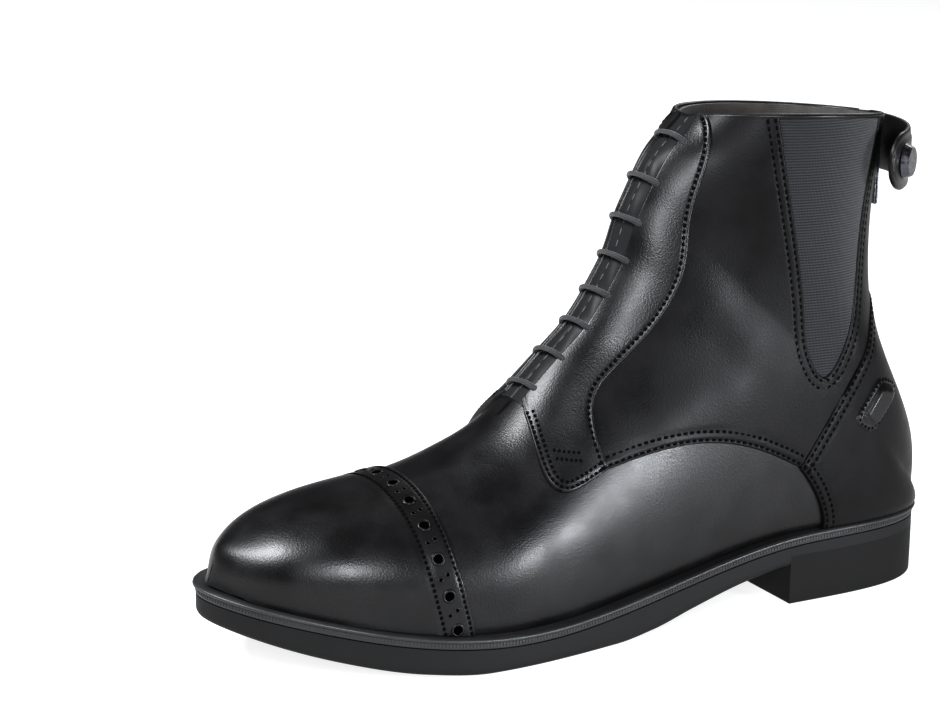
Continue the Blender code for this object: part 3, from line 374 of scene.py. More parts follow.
# soft troughs (minus) and ridges (plus) of the leg and over the ball: side (0 for both), along and height
# of both ends (shares of SOLE_LENGTH and SHAFT_HEIGHT), reach and depth in mm
FOLDS = [
    (1, (0.350, 0.90), (0.335, 0.66), 10, -0.5),
    (1, (0.470, 0.50), (0.370, 0.56), 9, -0.45),
    (1, (0.440, 0.43), (0.350, 0.46), 9, 0.35),
    (-1, (0.350, 0.90), (0.335, 0.66), 10, -0.5),
    (-1, (0.470, 0.50), (0.370, 0.56), 8, -0.5),
    (0, (0.640, 0.42), (0.600, 0.20), 8, -0.45),
]


def folded(grid):
    """The grid with its soft folds: each is a bell across the line between its ends, fading at both."""
    normal = grid_normals(grid)[2:-2, 2:-2]
    spot = np.stack([SOLE_LENGTH / 2 - (grid[..., 1] - SHIFT[1]), grid[..., 2]], -1)
    columns = np.arange(grid.shape[1]) - MASTER_Q + 1
    moved = np.zeros(grid.shape[:2])
    for side, start, end, reach, depth in FOLDS:
        a = np.array(start) * (SOLE_LENGTH, SHAFT_HEIGHT)
        b = np.array(end) * (SOLE_LENGTH, SHAFT_HEIGHT)
        share = np.clip(((spot - a) @ (b - a)) / ((b - a) @ (b - a)), 0, 1)
        off = np.linalg.norm(spot - a - share[..., None] * (b - a), axis=-1)
        shown = 1 if side == 0 else np.clip(columns * side / 12, 0, 1)[None, :]
        moved += shown * depth * MM * np.exp(-((off / (reach * MM)) ** 2))
    return grid + normal * moved[..., None]


def grid_normals(grid):
    """Outward normals of the padded grid, from its central differences."""
    wide = padded_grid(grid)
    normal = np.cross(np.gradient(wide, axis=1), np.gradient(wide, axis=0))
    return normal / np.maximum(np.linalg.norm(normal, axis=2, keepdims=True), 1e-12)


def smoothed(grid, times):
    """The grid with each inner point drawn towards the mean of its neighbours."""
    for _ in range(times):
        wide = padded_grid(grid)
        mean = (wide[1:-3, 2:-2] + wide[3:-1, 2:-2] + wide[2:-2, 1:-3] + wide[2:-2, 3:-1]) / 4
        mean[-1] = grid[-1]
        rows = np.arange(MASTER_S) <= SEAT * (MASTER_S - 1) + 1
        mean[rows, 0], mean[rows, -1] = grid[rows, 0], grid[rows, -1]
        grid = grid + 0.6 * (mean - grid)
    return grid


outer_half, inner_half = last_side(1), last_side(-1)
LAST = np.concatenate([inner_half[:, :0:-1], outer_half], 1)
LAST = smoothed(LAST, 12)
LAST = smoothed(folded(LAST), 4)
LAST_POINTS = padded_grid(LAST)
normals = grid_normals(LAST)[2:-2, 2:-2]
normals[0, MASTER_Q - 1] = normals[0, MASTER_Q - 2] + normals[0, MASTER_Q]
LAST_NORMALS = padded_grid(normals)


def from_grid(grid, s, q):
    """The padded grid between its points, by a smooth cubic in both directions."""
    row = np.clip(s, 0, 1) * (MASTER_S - 1)
    column = (np.clip(q, -1, 1) + 1) * (MASTER_Q - 1)
    i = np.clip(np.floor(row).astype(int), 0, MASTER_S - 2)
    j = np.clip(np.floor(column).astype(int), 0, 2 * MASTER_Q - 3)
    out = 0
    for a, wa in enumerate(cubic_weights(row - i)):
        for b, wb in enumerate(cubic_weights(column - j)):
            out = out + grid[i + a + 1, j + b + 1] * (wa * wb)[..., None]
    return out


def cubic_weights(t):
    """Weights of the four points round a place, t of the way from the second to the third."""
    return (
        (-t + 2 * t**2 - t**3) / 2,
        (2 - 5 * t**2 + 3 * t**3) / 2,
        (t + 4 * t**2 - 3 * t**3) / 2,
        (-(t**2) + t**3) / 2,
    )


def skin_normal(s, q):
    """The last's outward normal."""
    normal = from_grid(LAST_NORMALS, np.asarray(s, float), np.asarray(q, float))
    return normal / np.linalg.norm(normal, axis=-1, keepdims=True)


def skin(s, q, lift=0.0):
    """A point of the last's surface, moved out by lift."""
    s, q = np.broadcast_arrays(np.asarray(s, float), np.asarray(q, float))
    return from_grid(LAST_POINTS, s, q) + skin_normal(s, q) * np.asarray(lift)[..., None]


FINE_ROWS = 1800


def on_last(rows, side):
    """(s, q) of places in the side view, given by along and height (shares of SOLE_LENGTH and SHAFT_HEIGHT):
    s of the section whose chord from foot to ridge passes through the place, and q from its share of it."""
    spot = np.array(rows, float) * (SOLE_LENGTH, SHAFT_HEIGHT)
    fine = np.linspace(0, 1, FINE_ROWS + 1)
    low_along, _, low_up, shape = section_ends(fine, side)
    low = np.stack([low_along, low_up], 1)
    rise = shape[:, :2] - low
    away = spot[:, None] - low[None]
    cross = rise[None, :, 0] * away[..., 1] - rise[None, :, 1] * away[..., 0]
    share = (away * rise[None]).sum(-1) / (rise**2).sum(-1)[None]
    outside = np.maximum(0, np.maximum(-share[:, 1:], share[:, 1:] - 1))
    outside[cross[:, 1:] * cross[:, :-1] > 0] = np.inf
    nearest = np.abs(cross).argmin(1).clip(0, FINE_ROWS - 1)
    k = np.where(np.isfinite(outside).any(1), outside.argmin(1), nearest)
    pick = np.arange(len(spot))
    step = cross[pick, k] / (cross[pick, k] - cross[pick, k + 1] + 1e-15)
    s = (k + np.clip(step, 0, 1)) / FINE_ROWS
    low_along, _, low_up, shape = section_ends(s, side)
    low = np.stack([low_along, low_up], 1)
    rise = shape[:, :2] - low
    high = np.clip(((spot - low) * rise).sum(1) / (rise**2).sum(1), 0, 1)
    widest = shape[:, 4]
    turn = np.where(
        high > widest,
        np.arccos(np.clip((high - widest) / (1 - widest), 0, 1)),
        np.pi / 2 + np.arcsin(np.clip(1 - high / widest, 0, 1)),
    ) / (np.pi / 2)
    run = section_run(s, side)
    q = np.array([np.interp(t, TURNS[0], row) for t, row in zip(turn, run)])
    return np.stack([s, side * q], 1)


def smooth_line(rows, side, steps=12):
    """A panel edge: the smooth line through the rows of its table, as (s, q), cut at the collar or the ridge
    where it starts past that, and at the foot or the back seam where it ends past that."""
    points = np.array(rows, float) * (SOLE_LENGTH, SHAFT_HEIGHT)
    run = run_of(points)
    fine = natural_spline(run, points, np.linspace(0, run[-1], steps * (len(rows) - 1) + 1))
    low_along, _, low_up, shape = section_ends(np.ones(1), side)
    share = (fine[:, 0] - low_along) / (shape[0, 0] - low_along)
    over = fine[:, 1] - low_up - share * (shape[0, 1] - low_up)
    if over[0] > 0:
        k = (over < 0).argmax()
        cut = over[k - 1] / (over[k - 1] - over[k])
        fine = np.vstack([fine[k - 1] + cut * (fine[k] - fine[k - 1]), fine[k:]])
    line = on_last(fine / (SOLE_LENGTH, SHAFT_HEIGHT), side)
    if over[0] > 0:
        line[0, 0] = 1
    past = np.abs(line[:, 1]) > 1 - 1e-4
    if past.any():
        line = np.vstack([line[: past.argmax()], (line[past.argmax(), 0], side)])
    before = np.abs(line[:, 1]) < 1e-3
    if before.any():
        last = np.flatnonzero(before)[-1]
        line = np.vstack([(line[last, 0], 0), line[last + 1 :]])
    return line


def even_places(line, places):
    """The (s, q) line read at shares of its real length."""
    run = run_of(skin(line[:, 0], line[:, 1]))
    at = np.asarray(places) * run[-1]
    return np.stack([np.interp(at, run, line[:, 0]), np.interp(at, run, line[:, 1])], 1)


NUDGE = 1e-3


def beside(line, distance):
    """The (s, q) line moved sideways over the surface, to the left of its run seen from outside: in three
    steps, each the change of s and q whose two slopes over the surface add up to the step left."""
    for _ in range(3):
        s, q = line.T
        point = skin(s, q)
        ahead = np.gradient(point, axis=0)
        left = np.cross(skin_normal(s, q), ahead)
        left *= distance / 3 / np.linalg.norm(left, axis=1, keepdims=True)
        low_s, high_s = np.clip((s - NUDGE, s + NUDGE), 0, 1)
        low_q, high_q = np.clip((q - NUDGE, q + NUDGE), -1, 1)
        by_s = (skin(high_s, q) - skin(low_s, q)) / (high_s - low_s)[:, None]
        by_q = (skin(s, high_q) - skin(s, low_q)) / (high_q - low_q)[:, None]
        a, b, c = (by_s**2).sum(1), (by_s * by_q).sum(1), (by_q**2).sum(1)
        d, e = (by_s * left).sum(1), (by_q * left).sum(1)
        det = a * c - b * b
        line = line + np.stack([(d * c - e * b) / det, (a * e - b * d) / det], 1)
        line = np.clip(line, (0, -1), (1, 1))
    return line


def gap_to_line(points, line):
    """Distance of each point from a line of points."""
    start, step = line[:-1], np.diff(line, axis=0)
    length = np.maximum((step**2).sum(1), 1e-18)
    out = []
    for part in np.array_split(points.reshape(-1, 3), max(1, points.size // 9000)):
        away = part[:, None] - start[None]
        share = np.clip((away * step).sum(-1) / length, 0, 1)
        out.append(np.linalg.norm(away - share[..., None] * step, axis=-1).min(1))
    return np.concatenate(out).reshape(points.shape[:-1])


# Leather
# Full-grain cowhide, black, finished to a half gloss: fine pores, slight unevenness and a thin top coat.
LEATHER_COLOUR = (0.0052, 0.0050, 0.0054)


def group_socket(group, name, way):
    """A number that a shader group takes in or gives out."""
    return group.interface.new_socket(name=name, in_out=way, socket_type="NodeSocketFloat")


def pattern(nodes, links, kind, scale, **values):
    """A texture of the piece's own Object coordinates, with its scale and other inputs."""
    made = nodes.new("ShaderNodeTex" + kind)
    made.inputs["Scale"].default_value = scale
    for name, value in values.items():
        made.inputs[name].default_value = value
    links.new(nodes.new("ShaderNodeTexCoord").outputs["Object"], made.inputs["Vector"])
    return made


def grain_group():
    """Skin grain: small rounded cells with finer pores between them, and a broad unevenness.
    Gives a height for the bump and a mask for the gloss."""
    group = bpy.data.node_groups.new("leather grain", "ShaderNodeTree")
    group_socket(group, "Cell", "INPUT").default_value = 1500
    group_socket(group, "Height", "OUTPUT")
    group_socket(group, "Mask", "OUTPUT")
    nodes, links = group.nodes, group.links
    given, result = nodes.new("NodeGroupInput"), nodes.new("NodeGroupOutput")
    cells = pattern(nodes, links, "Voronoi", 1500, Randomness=0.9)
    cells.feature = "SMOOTH_F1"
    cells.inputs["Smoothness"].default_value = 0.6
    pores = pattern(nodes, links, "Noise", 2600, Detail=3)
    broad = pattern(nodes, links, "Noise", 70, Detail=4)
    links.new(given.outputs["Cell"], cells.inputs["Scale"])
    add = nodes.new("ShaderNodeMath")
    add.operation = "MULTIPLY_ADD"
    add.inputs[1].default_value = 0.6
    links.new(pores.outputs["Fac"], add.inputs[0])
    links.new(cells.outputs["Distance"], add.inputs[2])
    links.new(add.outputs[0], result.inputs["Height"])
    links.new(broad.outputs["Fac"], result.inputs["Mask"])
    return group


def surface(name, colour, roughness, metallic=0.0):
    """A new material, its node tree's parts and its shader."""
    made = bpy.data.materials.new(name)
    made.use_nodes = True
    shader = made.node_tree.nodes["Principled BSDF"]
    shader.inputs["Base Color"].default_value = (*colour, 1)
    shader.inputs["Roughness"].default_value = roughness
    shader.inputs["Metallic"].default_value = metallic
    return made, made.node_tree.nodes, made.node_tree.links, shader


def add_bump(nodes, links, shader, height, strength, distance):
    """Bends the shader's normal by a height."""
    bump = nodes.new("ShaderNodeBump")
    bump.inputs["Strength"].default_value = strength
    bump.inputs["Distance"].default_value = distance
    links.new(height, bump.inputs["Height"])
    links.new(bump.outputs["Normal"], shader.inputs["Normal"])


def ranged(nodes, links, value, low, high, start=0.35, end=0.65):
    """value from start to end, spread over low to high."""
    made = nodes.new("ShaderNodeMapRange")
    made.inputs["From Min"].default_value, made.inputs["From Max"].default_value = start, end
    made.inputs["To Min"].default_value, made.inputs["To Max"].default_value = low, high
    links.new(value, made.inputs["Value"])
    return made.outputs["Result"]


def uneven(nodes, links, shader, value, colour, dark, light):
    """Base colour from dark to light times the colour, by value."""
    tone = ranged(nodes, links, value, 0, 1)
    low, high = ([c * share for c in colour] for share in (dark, light))
    links.new(blended(nodes, links, tone, low, high), shader.inputs["Base Color"])


def blended(nodes, links, value, low, high):
    """A colour between low and high by value."""
    made = nodes.new("ShaderNodeMix")
    made.data_type = "RGBA"
    made.inputs["A"].default_value, made.inputs["B"].default_value = (*low, 1), (*high, 1)
    links.new(value, made.inputs["Factor"])
    return made.outputs["Result"]


GRAIN = grain_group()


def leather(name, colour, gloss, cell, depth, shine=0.32):
    """Grained leather: colour and gloss vary a little with the broad mask, and the grain is a bump."""
    made, nodes, links, shader = surface(name, colour, gloss)
    grain = nodes.new("ShaderNodeGroup")
    grain.node_tree = GRAIN
    grain.inputs["Cell"].default_value = cell
    mask = grain.outputs["Mask"]
    uneven(nodes, links, shader, mask, colour, 0.75, 1.35)
    links.new(ranged(nodes, links, mask, gloss - 0.05, gloss + 0.06), shader.inputs["Roughness"])
    shader.inputs["Coat Weight"].default_value = 0.12 if shine > 0.2 else 0.04
    shader.inputs["Coat Roughness"].default_value = 0.30
    shader.inputs["Specular IOR Level"].default_value = shine
    add_bump(nodes, links, shader, grain.outputs["Height"], 0.55, depth)
    return made


UPPER_LEATHER = leather("upper leather", LEATHER_COLOUR, 0.37, 1500, 0.0001, 0.30)
# The quarters and the counter use the same leather with less shine, a rougher finish and a thinner coat, so that
# they look darker: painted shade where the side of the leg lies away from the light.
SIDE_LEATHER_IN_PAINTED_SHADE = leather("side leather in painted shade", LEATHER_COLOUR, 0.43, 1500, 0.0001, 0.13)
CAP_LEATHER = leather("toe cap leather", LEATHER_COLOUR, 0.36, 1300, 0.00008)


def grid_faces(rows, columns, flip=False):
    """Quads between the points of a grid, numbered row by row."""
    i, j = np.meshgrid(np.arange(rows - 1), np.arange(columns - 1), indexing="ij")
    a = (i * columns + j).ravel()
    quads = np.stack([a, a + 1, a + columns + 1, a + columns], 1)
    return quads[:, ::-1] if flip else quads


def sheet_mesh(grids):
    """Points and faces of closed sheets, each given as its outer and inner grid of points: both faces and the
    four rims between them."""
    points, faces, start = [], [], 0
    for outer, inner in grids:
        rows, columns = outer.shape[:2]
        count = rows * columns
        index = np.arange(count).reshape(rows, columns)
        rim = np.concatenate([index[0, :-1], index[:-1, -1], index[-1, :0:-1], index[:0:-1, 0]])
        ahead = np.roll(rim, -1)
        quads = np.vstack([
            grid_faces(rows, columns),
            grid_faces(rows, columns, True) + count,
            np.stack([ahead, rim, rim + count, ahead + count], 1),
        ])
        points += [outer.reshape(-1, 3), inner.reshape(-1, 3)]
        faces.append(quads + start)
        start += 2 * count
    return np.concatenate(points), np.concatenate(faces)


def piece(name, points, faces, look, stands_for=(), body="boot", weld=0.0, sharp=None):
    """A finished piece of the boot: its mesh, material, body and the solids that it stands for."""
    mesh = bpy.data.meshes.new(name)
    mesh.from_pydata(points.tolist(), [], [list(face) for face in faces])
    bm = bmesh.new()
    bm.from_mesh(mesh)
    bmesh.ops.remove_doubles(bm, verts=bm.verts, dist=max(weld, 1e-7))
    if bm.calc_volume(signed=True) < 0:
        bmesh.ops.reverse_faces(bm, faces=bm.faces)
    bm.to_mesh(mesh)
    bm.free()
    mesh.shade_smooth()
    if sharp:
        mesh.set_sharp_from_angle(angle=np.radians(sharp))
    mesh.materials.append(look)
    made = bpy.data.objects.new(name, mesh)
    bpy.context.scene.collection.objects.link(made)
    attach(made, body)
    if stands_for:
        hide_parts(*stands_for)
    return made


# Outsole and heel
# One moulded rubber unit: a sole plate with an upright side, an arched waist, a little toe spring and a low
# block heel with a straight breast. The welt lies on it, over a groove with fine notches.
HEEL_BREAST = 14.3 * MM
TOE_SPRING = 17 * MM
WELT_HEIGHT = 4.0 * MM
SIDE_INSET = 1.2 * MM
HEEL_INSET = -0.03 * MM
EDGE_ROUND = 2.2 * MM
HEEL_EDGE = 0.7 * MM
RING_POINTS = 720
UNDER_LINE = [
    (0.000, 1.00, 0.00), (0.250, 1.00, 0.00), (0.300, 0.86, 0.00), (0.400, 0.40, 0.00), (0.460, 0.12, 0.00),
    (0.520, 0.00, 0.00), (0.700, 0.00, 0.00), (0.780, 0.00, 0.13), (0.880, 0.00, 0.45), (1.000, 0.00, 1.00),
]


def steady_curve(knots, values, at):
    """A curve through the values that never overshoots, its tangents the harmonic means of the slopes."""
    x, y = np.asarray(knots, float), np.asarray(values, float)
    step = np.diff(x)
    slope = np.diff(y) / step
    first, second = 2 * step[1:] + step[:-1], step[1:] + 2 * step[:-1]
    same = slope[:-1] * slope[1:] > 0
    safe = np.where(slope == 0, 1, slope)
    inner = np.where(same, (first + second) / (first / safe[:-1] + second / safe[1:]), 0)
    tangent = np.r_[slope[0], inner, slope[-1]]
    at = np.clip(np.asarray(at, float), x[0], x[-1])
    k = np.clip(np.searchsorted(x, at, side="right") - 1, 0, len(x) - 2)
    t = (at - x[k]) / step[k]
    start = (1 + 2 * t) * (1 - t) ** 2 * y[k] + t * (1 - t) ** 2 * step[k] * tangent[k]
    return start + t * t * (3 - 2 * t) * y[k + 1] + t * t * (t - 1) * step[k] * tangent[k + 1]


def under_height(along):
    """Height of the under side, without the heel block."""
    table = np.array(UNDER_LINE)
    share = along / SOLE_LENGTH
    arch = steady_curve(table[:, 0], table[:, 1], share) * HEEL_BREAST
    return arch + steady_curve(table[:, 0], table[:, 2], share) * TOE_SPRING


def sole_ring(inset, height):
    """The sole's outline as RING_POINTS points even in length, at an inset, with its height from along."""
    fine = outline_fine(inset)
    run = run_of(np.vstack([fine, fine[:1]]))
    even = np.linspace(0, run[-1], RING_POINTS + 1)[:-1]
    along, across = (np.interp(even, run, np.r_[fine[:, k], fine[0, k]]) for k in (0, 1))
    return placed(across, along, height(along))


def on_seat(offset):
    """A height function: the seat line moved by offset."""
    return lambda along: seat_height(along) + offset


def ring_faces(rings, columns, around=False):
    """Quads between closed rings of points, and from the last to the first where the profile closes around."""
    index = np.arange(rings * columns).reshape(rings, columns)
    low, high = (index, np.roll(index, -1, 0)) if around else (index[:-1], index[1:])
    quads = np.stack([low, np.roll(low, -1, 1), np.roll(high, -1, 1), high], -1)
    return quads.reshape(-1, 4)


def rubber(name, colour, gloss, shine=0.5):
    """Moulded rubber: a faint cloudy tone, fine mould texture and small scuffs in the gloss."""
    made, nodes, links, shader = surface(name, colour, gloss)
    shader.inputs["Specular IOR Level"].default_value = shine
    cloud = pattern(nodes, links, "Noise", 45, Detail=6).outputs["Fac"]
    fine = pattern(nodes, links, "Noise", 1400, Detail=4).outputs["Fac"]
    uneven(nodes, links, shader, cloud, colour, 0.85, 1.2)
    links.new(ranged(nodes, links, cloud, gloss - 0.06, gloss + 0.06), shader.inputs["Roughness"])
    add_bump(nodes, links, shader, fine, 0.5, 0.00004)
    return made


# The plate and the heel block are the same rubber: the plate's copy is a little lighter, painted light, and the
# heel's darker and less shiny, painted shade where it lies away from the front light.
SOLE_RUBBER = rubber("moulded sole", (0.0090, 0.0089, 0.0091), 0.62, 0.25)
HEEL_RUBBER_IN_PAINTED_SHADE = rubber("moulded heel in painted shade", (0.0080, 0.0078, 0.0078), 0.64, 0.18)
top = -WELT_HEIGHT - GAP
bed = 2.15 * WELT_REACH + GAP
bow = np.linspace(0, np.pi / 2, 6)


def rounded_under(a):
    """A height function: the round at the edge of the under side, at the angle a of its quarter turn."""
    return lambda along: under_height(along) + EDGE_ROUND * (1 - np.cos(a))


def up_side(share):
    """A height function: a share of the way from the round to the top of the sole's side."""
    return lambda along: (under_height(along) + EDGE_ROUND) * (1 - share) + (seat_height(along) + top) * share


sole_rings = [sole_ring(SIDE_INSET + EDGE_ROUND + d, under_height) for d in (22 * MM, 14 * MM, 6 * MM)]
sole_rings += [sole_ring(SIDE_INSET + EDGE_ROUND * (1 - np.sin(a)), rounded_under(a)) for a in bow]
sole_rings += [sole_ring(SIDE_INSET, up_side(share)) for share in (0.2, 0.4, 0.6, 0.8, 1.0)]
sole_rings += [sole_ring(inset, on_seat(top)) for inset in (SIDE_INSET + 0.1 * MM, bed)]
sole_rings += [sole_ring(bed + d, on_seat(0)) for d in (0, 6 * MM, 12 * MM)]


def closed_rings(rings):
    """Rings joined into one skin, and both ends filled with rungs from side to side."""
    columns = len(rings[0])
    faces = ring_faces(len(rings), columns).tolist()
    for start in (0, (len(rings) - 1) * columns):
        for i in range(columns // 2 - 1):
            faces.append([start + i, start + i + 1, start + columns - i - 2, start + columns - i - 1])
    return np.concatenate(rings), faces


points, faces = closed_rings(sole_rings)
piece("outsole_plate", points, faces, SOLE_RUBBER, ("outsole",), weld=0.01 * MM, sharp=45)


def heel_ring(inset, up):
    """Outline of the heel block at an inset: the sole's outline to the breast, then straight across."""
    fine = outline_fine(SIDE_INSET + HEEL_INSET + inset)
    length = HEEL_LENGTH - inset
    tip = fine[:, 0].argmax()
    outer, inner = fine[:tip], fine[tip:]
    outer = outer[outer[:, 0] < length]
    inner = inner[inner[:, 0] < length]
    loop = np.vstack([outer, (length, outer[-1, 1]), (length, inner[0, 1]), inner])
    corner = len(outer)
    run = run_of(loop)
    stops = (0, run[corner], run[corner + 1], run[-1])
    parts = [np.linspace(a, b, count + 1)[:-1] for a, b, count in zip(stops, stops[1:], (89, 39, 89))]
    even = np.concatenate([*parts, run[-1:]])
    along, across = (np.interp(even, run, loop[:, k]) for k in (0, 1))
    return placed(across, along, np.full(len(even), up))


heel_rings = [heel_ring(HEEL_EDGE * (1 - np.sin(a)), HEEL_EDGE * (1 - np.cos(a))) for a in bow]
heel_tops = (HEEL_BREAST * 0.5, HEEL_BREAST * 0.8, HEEL_BREAST + EDGE_ROUND + 2 * MM)
heel_rings = [heel_ring(EDGE_ROUND + 8 * MM, 0)] + heel_rings + [heel_ring(0, up) for up in heel_tops]
points, faces = closed_rings(heel_rings)
piece("heel_block", points, faces, HEEL_RUBBER_IN_PAINTED_SHADE, weld=0.01 * MM, sharp=45)

# Notches and welt
# The welt is a rounded strip that the upper is stitched to, polished on top.
# Under its edge a wheel has pressed a row of short upright notches into the groove.
NOTCH_PITCH = 1.25 * MM
WELT_EDGE = rubber("polished welt", (0.022, 0.022, 0.023), 0.42)
WELT_INSET = 0.1 * MM
# inset (share of WELT_REACH) and height from the seat line (share of WELT_HEIGHT), from below round the edge
WELT_PROFILE = [
    (2.15, -1.0), (0.26, -1.0), (0.225, -0.96), (0.215, -0.60), (0.20, -0.46), (0.12, -0.42), (0.04, -0.36),
    (0.0, -0.24), (0.02, -0.13), (0.09, -0.04), (0.22, 0.0), (0.40, -0.01), (0.62, -0.03), (0.85, 0.0),
    (2.15, 0.0),
]
rings = [sole_ring(WELT_INSET + inset * WELT_REACH, on_seat(up * WELT_HEIGHT)) for inset, up in WELT_PROFILE]
piece("welt_strip", np.concatenate(rings), ring_faces(len(rings), RING_POINTS, True), WELT_EDGE,
      ("welt",), weld=0.01 * MM)

groove = sole_ring(WELT_INSET + 0.21 * WELT_REACH, on_seat(-0.66 * WELT_HEIGHT))
closed = np.vstack([groove, groove[:1]])
run = run_of(closed)
count = int(run[-1] / NOTCH_PITCH)
at = np.arange(count) * run[-1] / count
middle = np.stack([np.interp(at, run, closed[:, k]) for k in range(3)], 1)
ahead = np.roll(middle, -1, 0) - np.roll(middle, 1, 0)
ahead /= np.linalg.norm(ahead, axis=1, keepdims=True)
out = np.stack([ahead[:, 1], -ahead[:, 0], 0 * at], 1)
out /= np.linalg.norm(out, axis=1, keepdims=True)
out *= np.sign(((middle - middle.mean(0)) * out).sum(1).mean())
TOOTH = [(-0.40, -0.6), (-0.26, 0.16), (0.26, 0.16), (0.40, -0.6)]
tooth = np.array([(x, y, z) for z in (-0.55, 0.75) for x, y in TOOTH]) * MM
points = (middle[:, None] + tooth[None, :, :1] * ahead[:, None] + tooth[None, :, 1:2] * out[:, None]
          + tooth[None, :, 2:] * np.array([0, 0, 1.0]))
block = np.array([(0, 1, 5, 4), (1, 2, 6, 5), (2, 3, 7, 6), (3, 0, 4, 7), (3, 2, 1, 0), (4, 5, 6, 7)])
faces = (block[None] + 8 * np.arange(count)[:, None, None]).reshape(-1, 4)
piece("welt_notches", points.reshape(-1, 3), faces, WELT_EDGE, weld=0.001 * MM, sharp=30)

# Upper body and lining
# The body is the vamp and the layer under the panels, one skin drawn over the last, open along the throat.
# A grey textile lining is glued inside, and a lined insole lies on the sole.
SLOT = 1.6 * MM / (1.4 * SHAFT_WIDTH)


def body_grid(rows, columns, lift):
    """The whole skin as one grid from the inner foot over the ridge to the outer, parted along the throat."""
    s = np.linspace(0, 1, rows)[:, None]
    half = np.linspace(0, 1, columns)[None, :]
    parted = SLOT * np.clip((s - THROAT - 0.01) / 0.02, 0, 1)
    q = parted + (1 - parted) * half
    return skin(s, np.concatenate([-q[:, ::-1], q], 1), lift)


def both_halves(rows, columns, over, under):
    """Closed sheets of the inner and the outer half, between two lifts."""
    outer, inner = body_grid(rows, columns, over), body_grid(rows, columns, under)
    return sheet_mesh([(outer[:, :columns], inner[:, :columns]), (outer[:, columns:], inner[:, columns:])])


points, faces = both_halves(300, 72, 0.0, -1.0 * MM)
piece("vamp_and_lining_board", points, faces, UPPER_LEATHER, ("upper",), sharp=60)


def cloth(name, colour, scale, depth, gloss=0.85, sheen=0.2, shine=0.5):
    """Fine woven cloth: two crossed thread waves as a bump, with an uneven tone."""
    made, nodes, links, shader = surface(name, colour, gloss)
    uneven(nodes, links, shader, pattern(nodes, links, "Noise", 160).outputs["Fac"], colour, 0.8, 1.2)
    weave = nodes.new("ShaderNodeMath")
    weave.operation = "MAXIMUM"
    for socket, way in zip(weave.inputs, "YZ"):
        wave = pattern(nodes, links, "Wave", scale, Distortion=1.0)
        wave.bands_direction = way
        links.new(wave.outputs["Fac"], socket)
    shader.inputs["Sheen Weight"].default_value = sheen
    shader.inputs["Specular IOR Level"].default_value = shine
    add_bump(nodes, links, shader, weave.outputs[0], 0.6, depth)
    return made


LINING = cloth("textile lining", (0.060, 0.055, 0.051), 400, 0.0001)
points, faces = both_halves(160, 60, -1.05 * MM, -2.0 * MM)
piece("lining", points, faces, LINING, sharp=60)



def finish_solid(name, look):
    """A solid that is kept as it is gets its material."""
    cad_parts[name].data.materials.clear()
    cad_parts[name].data.materials.append(look)


finish_solid("insole", LINING)

# Panels
# Toe cap, quarters, facings and heel counter are cut from the same leather, skived at the edge, folded and
# sewn down, so each has a rolled edge and stands a little above what it covers.
PANEL = 1.1 * MM
FACING = 1.4 * MM
TOE_CAP = 1.3 * MM
COUNTER = 1.3 * MM
FACING_EDGE = [
    (0.343, 1.10), (0.352, 1.00), (0.389, 0.833), (0.405, 0.709), (0.451, 0.598), (0.501, 0.527),
    (0.526, 0.485), (0.533, 0.451), (0.528, 0.352),
]
TAB_EDGE = [(0.528, 0.352), (0.560, 0.330), (0.594, 0.322), (0.606, 0.338), (0.610, 0.372), (0.603, 0.445)]
QUARTER_EDGE = [(0.528, 0.352), (0.446, 0.376), (0.381, 0.377), (0.310, 0.348), (0.249, 0.299)]
COUNTER_EDGE = [
    (0.249, 0.299), (0.200, 0.414), (0.147, 0.542), (0.108, 0.625), (0.050, 0.665), (-0.05, 0.670),
]
COUNTER_FRONT = [(0.249, 0.299), (0.222, 0.241), (0.202, 0.167), (0.198, -0.05)]
GUSSET = [
    (0.297, 1.10), (0.293, 0.996), (0.270, 0.804), (0.248, 0.621), (0.238, 0.531), (0.216, 0.483),
    (0.191, 0.531), (0.162, 0.756), (0.150, 0.887), (0.138, 0.996), (0.134, 1.10),
]
EDGE_ROWS = np.array([0, 0.15, 0.32, 0.52, 0.78, 1.1, 1.5, 2.0, 2.6, 3.3, 4.2]) * MM


def crowded(length, step):
    """Shares of a length with rows crowding towards both ends."""
    near = EDGE_ROWS / length
    middle = np.linspace(near[-1], 1 - near[-1], max(2, int(length * (1 - 2 * near[-1]) / step)))
    return np.unique(np.r_[near, middle, 1 - near])


# about how many mm a whole s and a whole q measure, so that unfolded works on nearly true distances
SKIN_SCALE = np.array([330.0, 115.0])


def unfolded(grid, sweeps=1200):
    """The grid with its inner points moved so that no cell overlaps another: each sweep solves, at every point,
    for the place where the squared row spacing times the bend across, the squared column spacing times the bend
    down and minus twice their product times the cross bend add up to nothing."""
    x = grid.copy()
    for _ in range(sweeps):
        across = (x[1:-1, 2:] - x[1:-1, :-2]) / 2
        down = (x[2:, 1:-1] - x[:-2, 1:-1]) / 2
        one = (across**2).sum(-1, keepdims=True)
        two = (down**2).sum(-1, keepdims=True)
        both = (across * down).sum(-1, keepdims=True)
        cross = (x[2:, 2:] - x[2:, :-2] - x[:-2, 2:] + x[:-2, :-2]) / 4
        new = two * (x[1:-1, 2:] + x[1:-1, :-2]) + one * (x[2:, 1:-1] + x[:-2, 1:-1]) - 2 * both * cross
        x[1:-1, 1:-1] += 0.9 * (new / np.maximum(2 * (one + two), 1e-12) - x[1:-1, 1:-1])
    return x


def blended_edges(a, b, c, d, v, u):
    """What the left and right edges a, b and the upper and lower edges c, d give, less what the corners give."""
    v, u = v[:, None, None], u[None, :, None]
    a, b, c, d = a[:, None], b[:, None], c[None], d[None]
    corners = (1 - v) * ((1 - u) * a[:1] + u * b[:1]) + v * ((1 - u) * a[-1:] + u * b[-1:])
    return (1 - u) * a + u * b + (1 - v) * c + v * d - corners


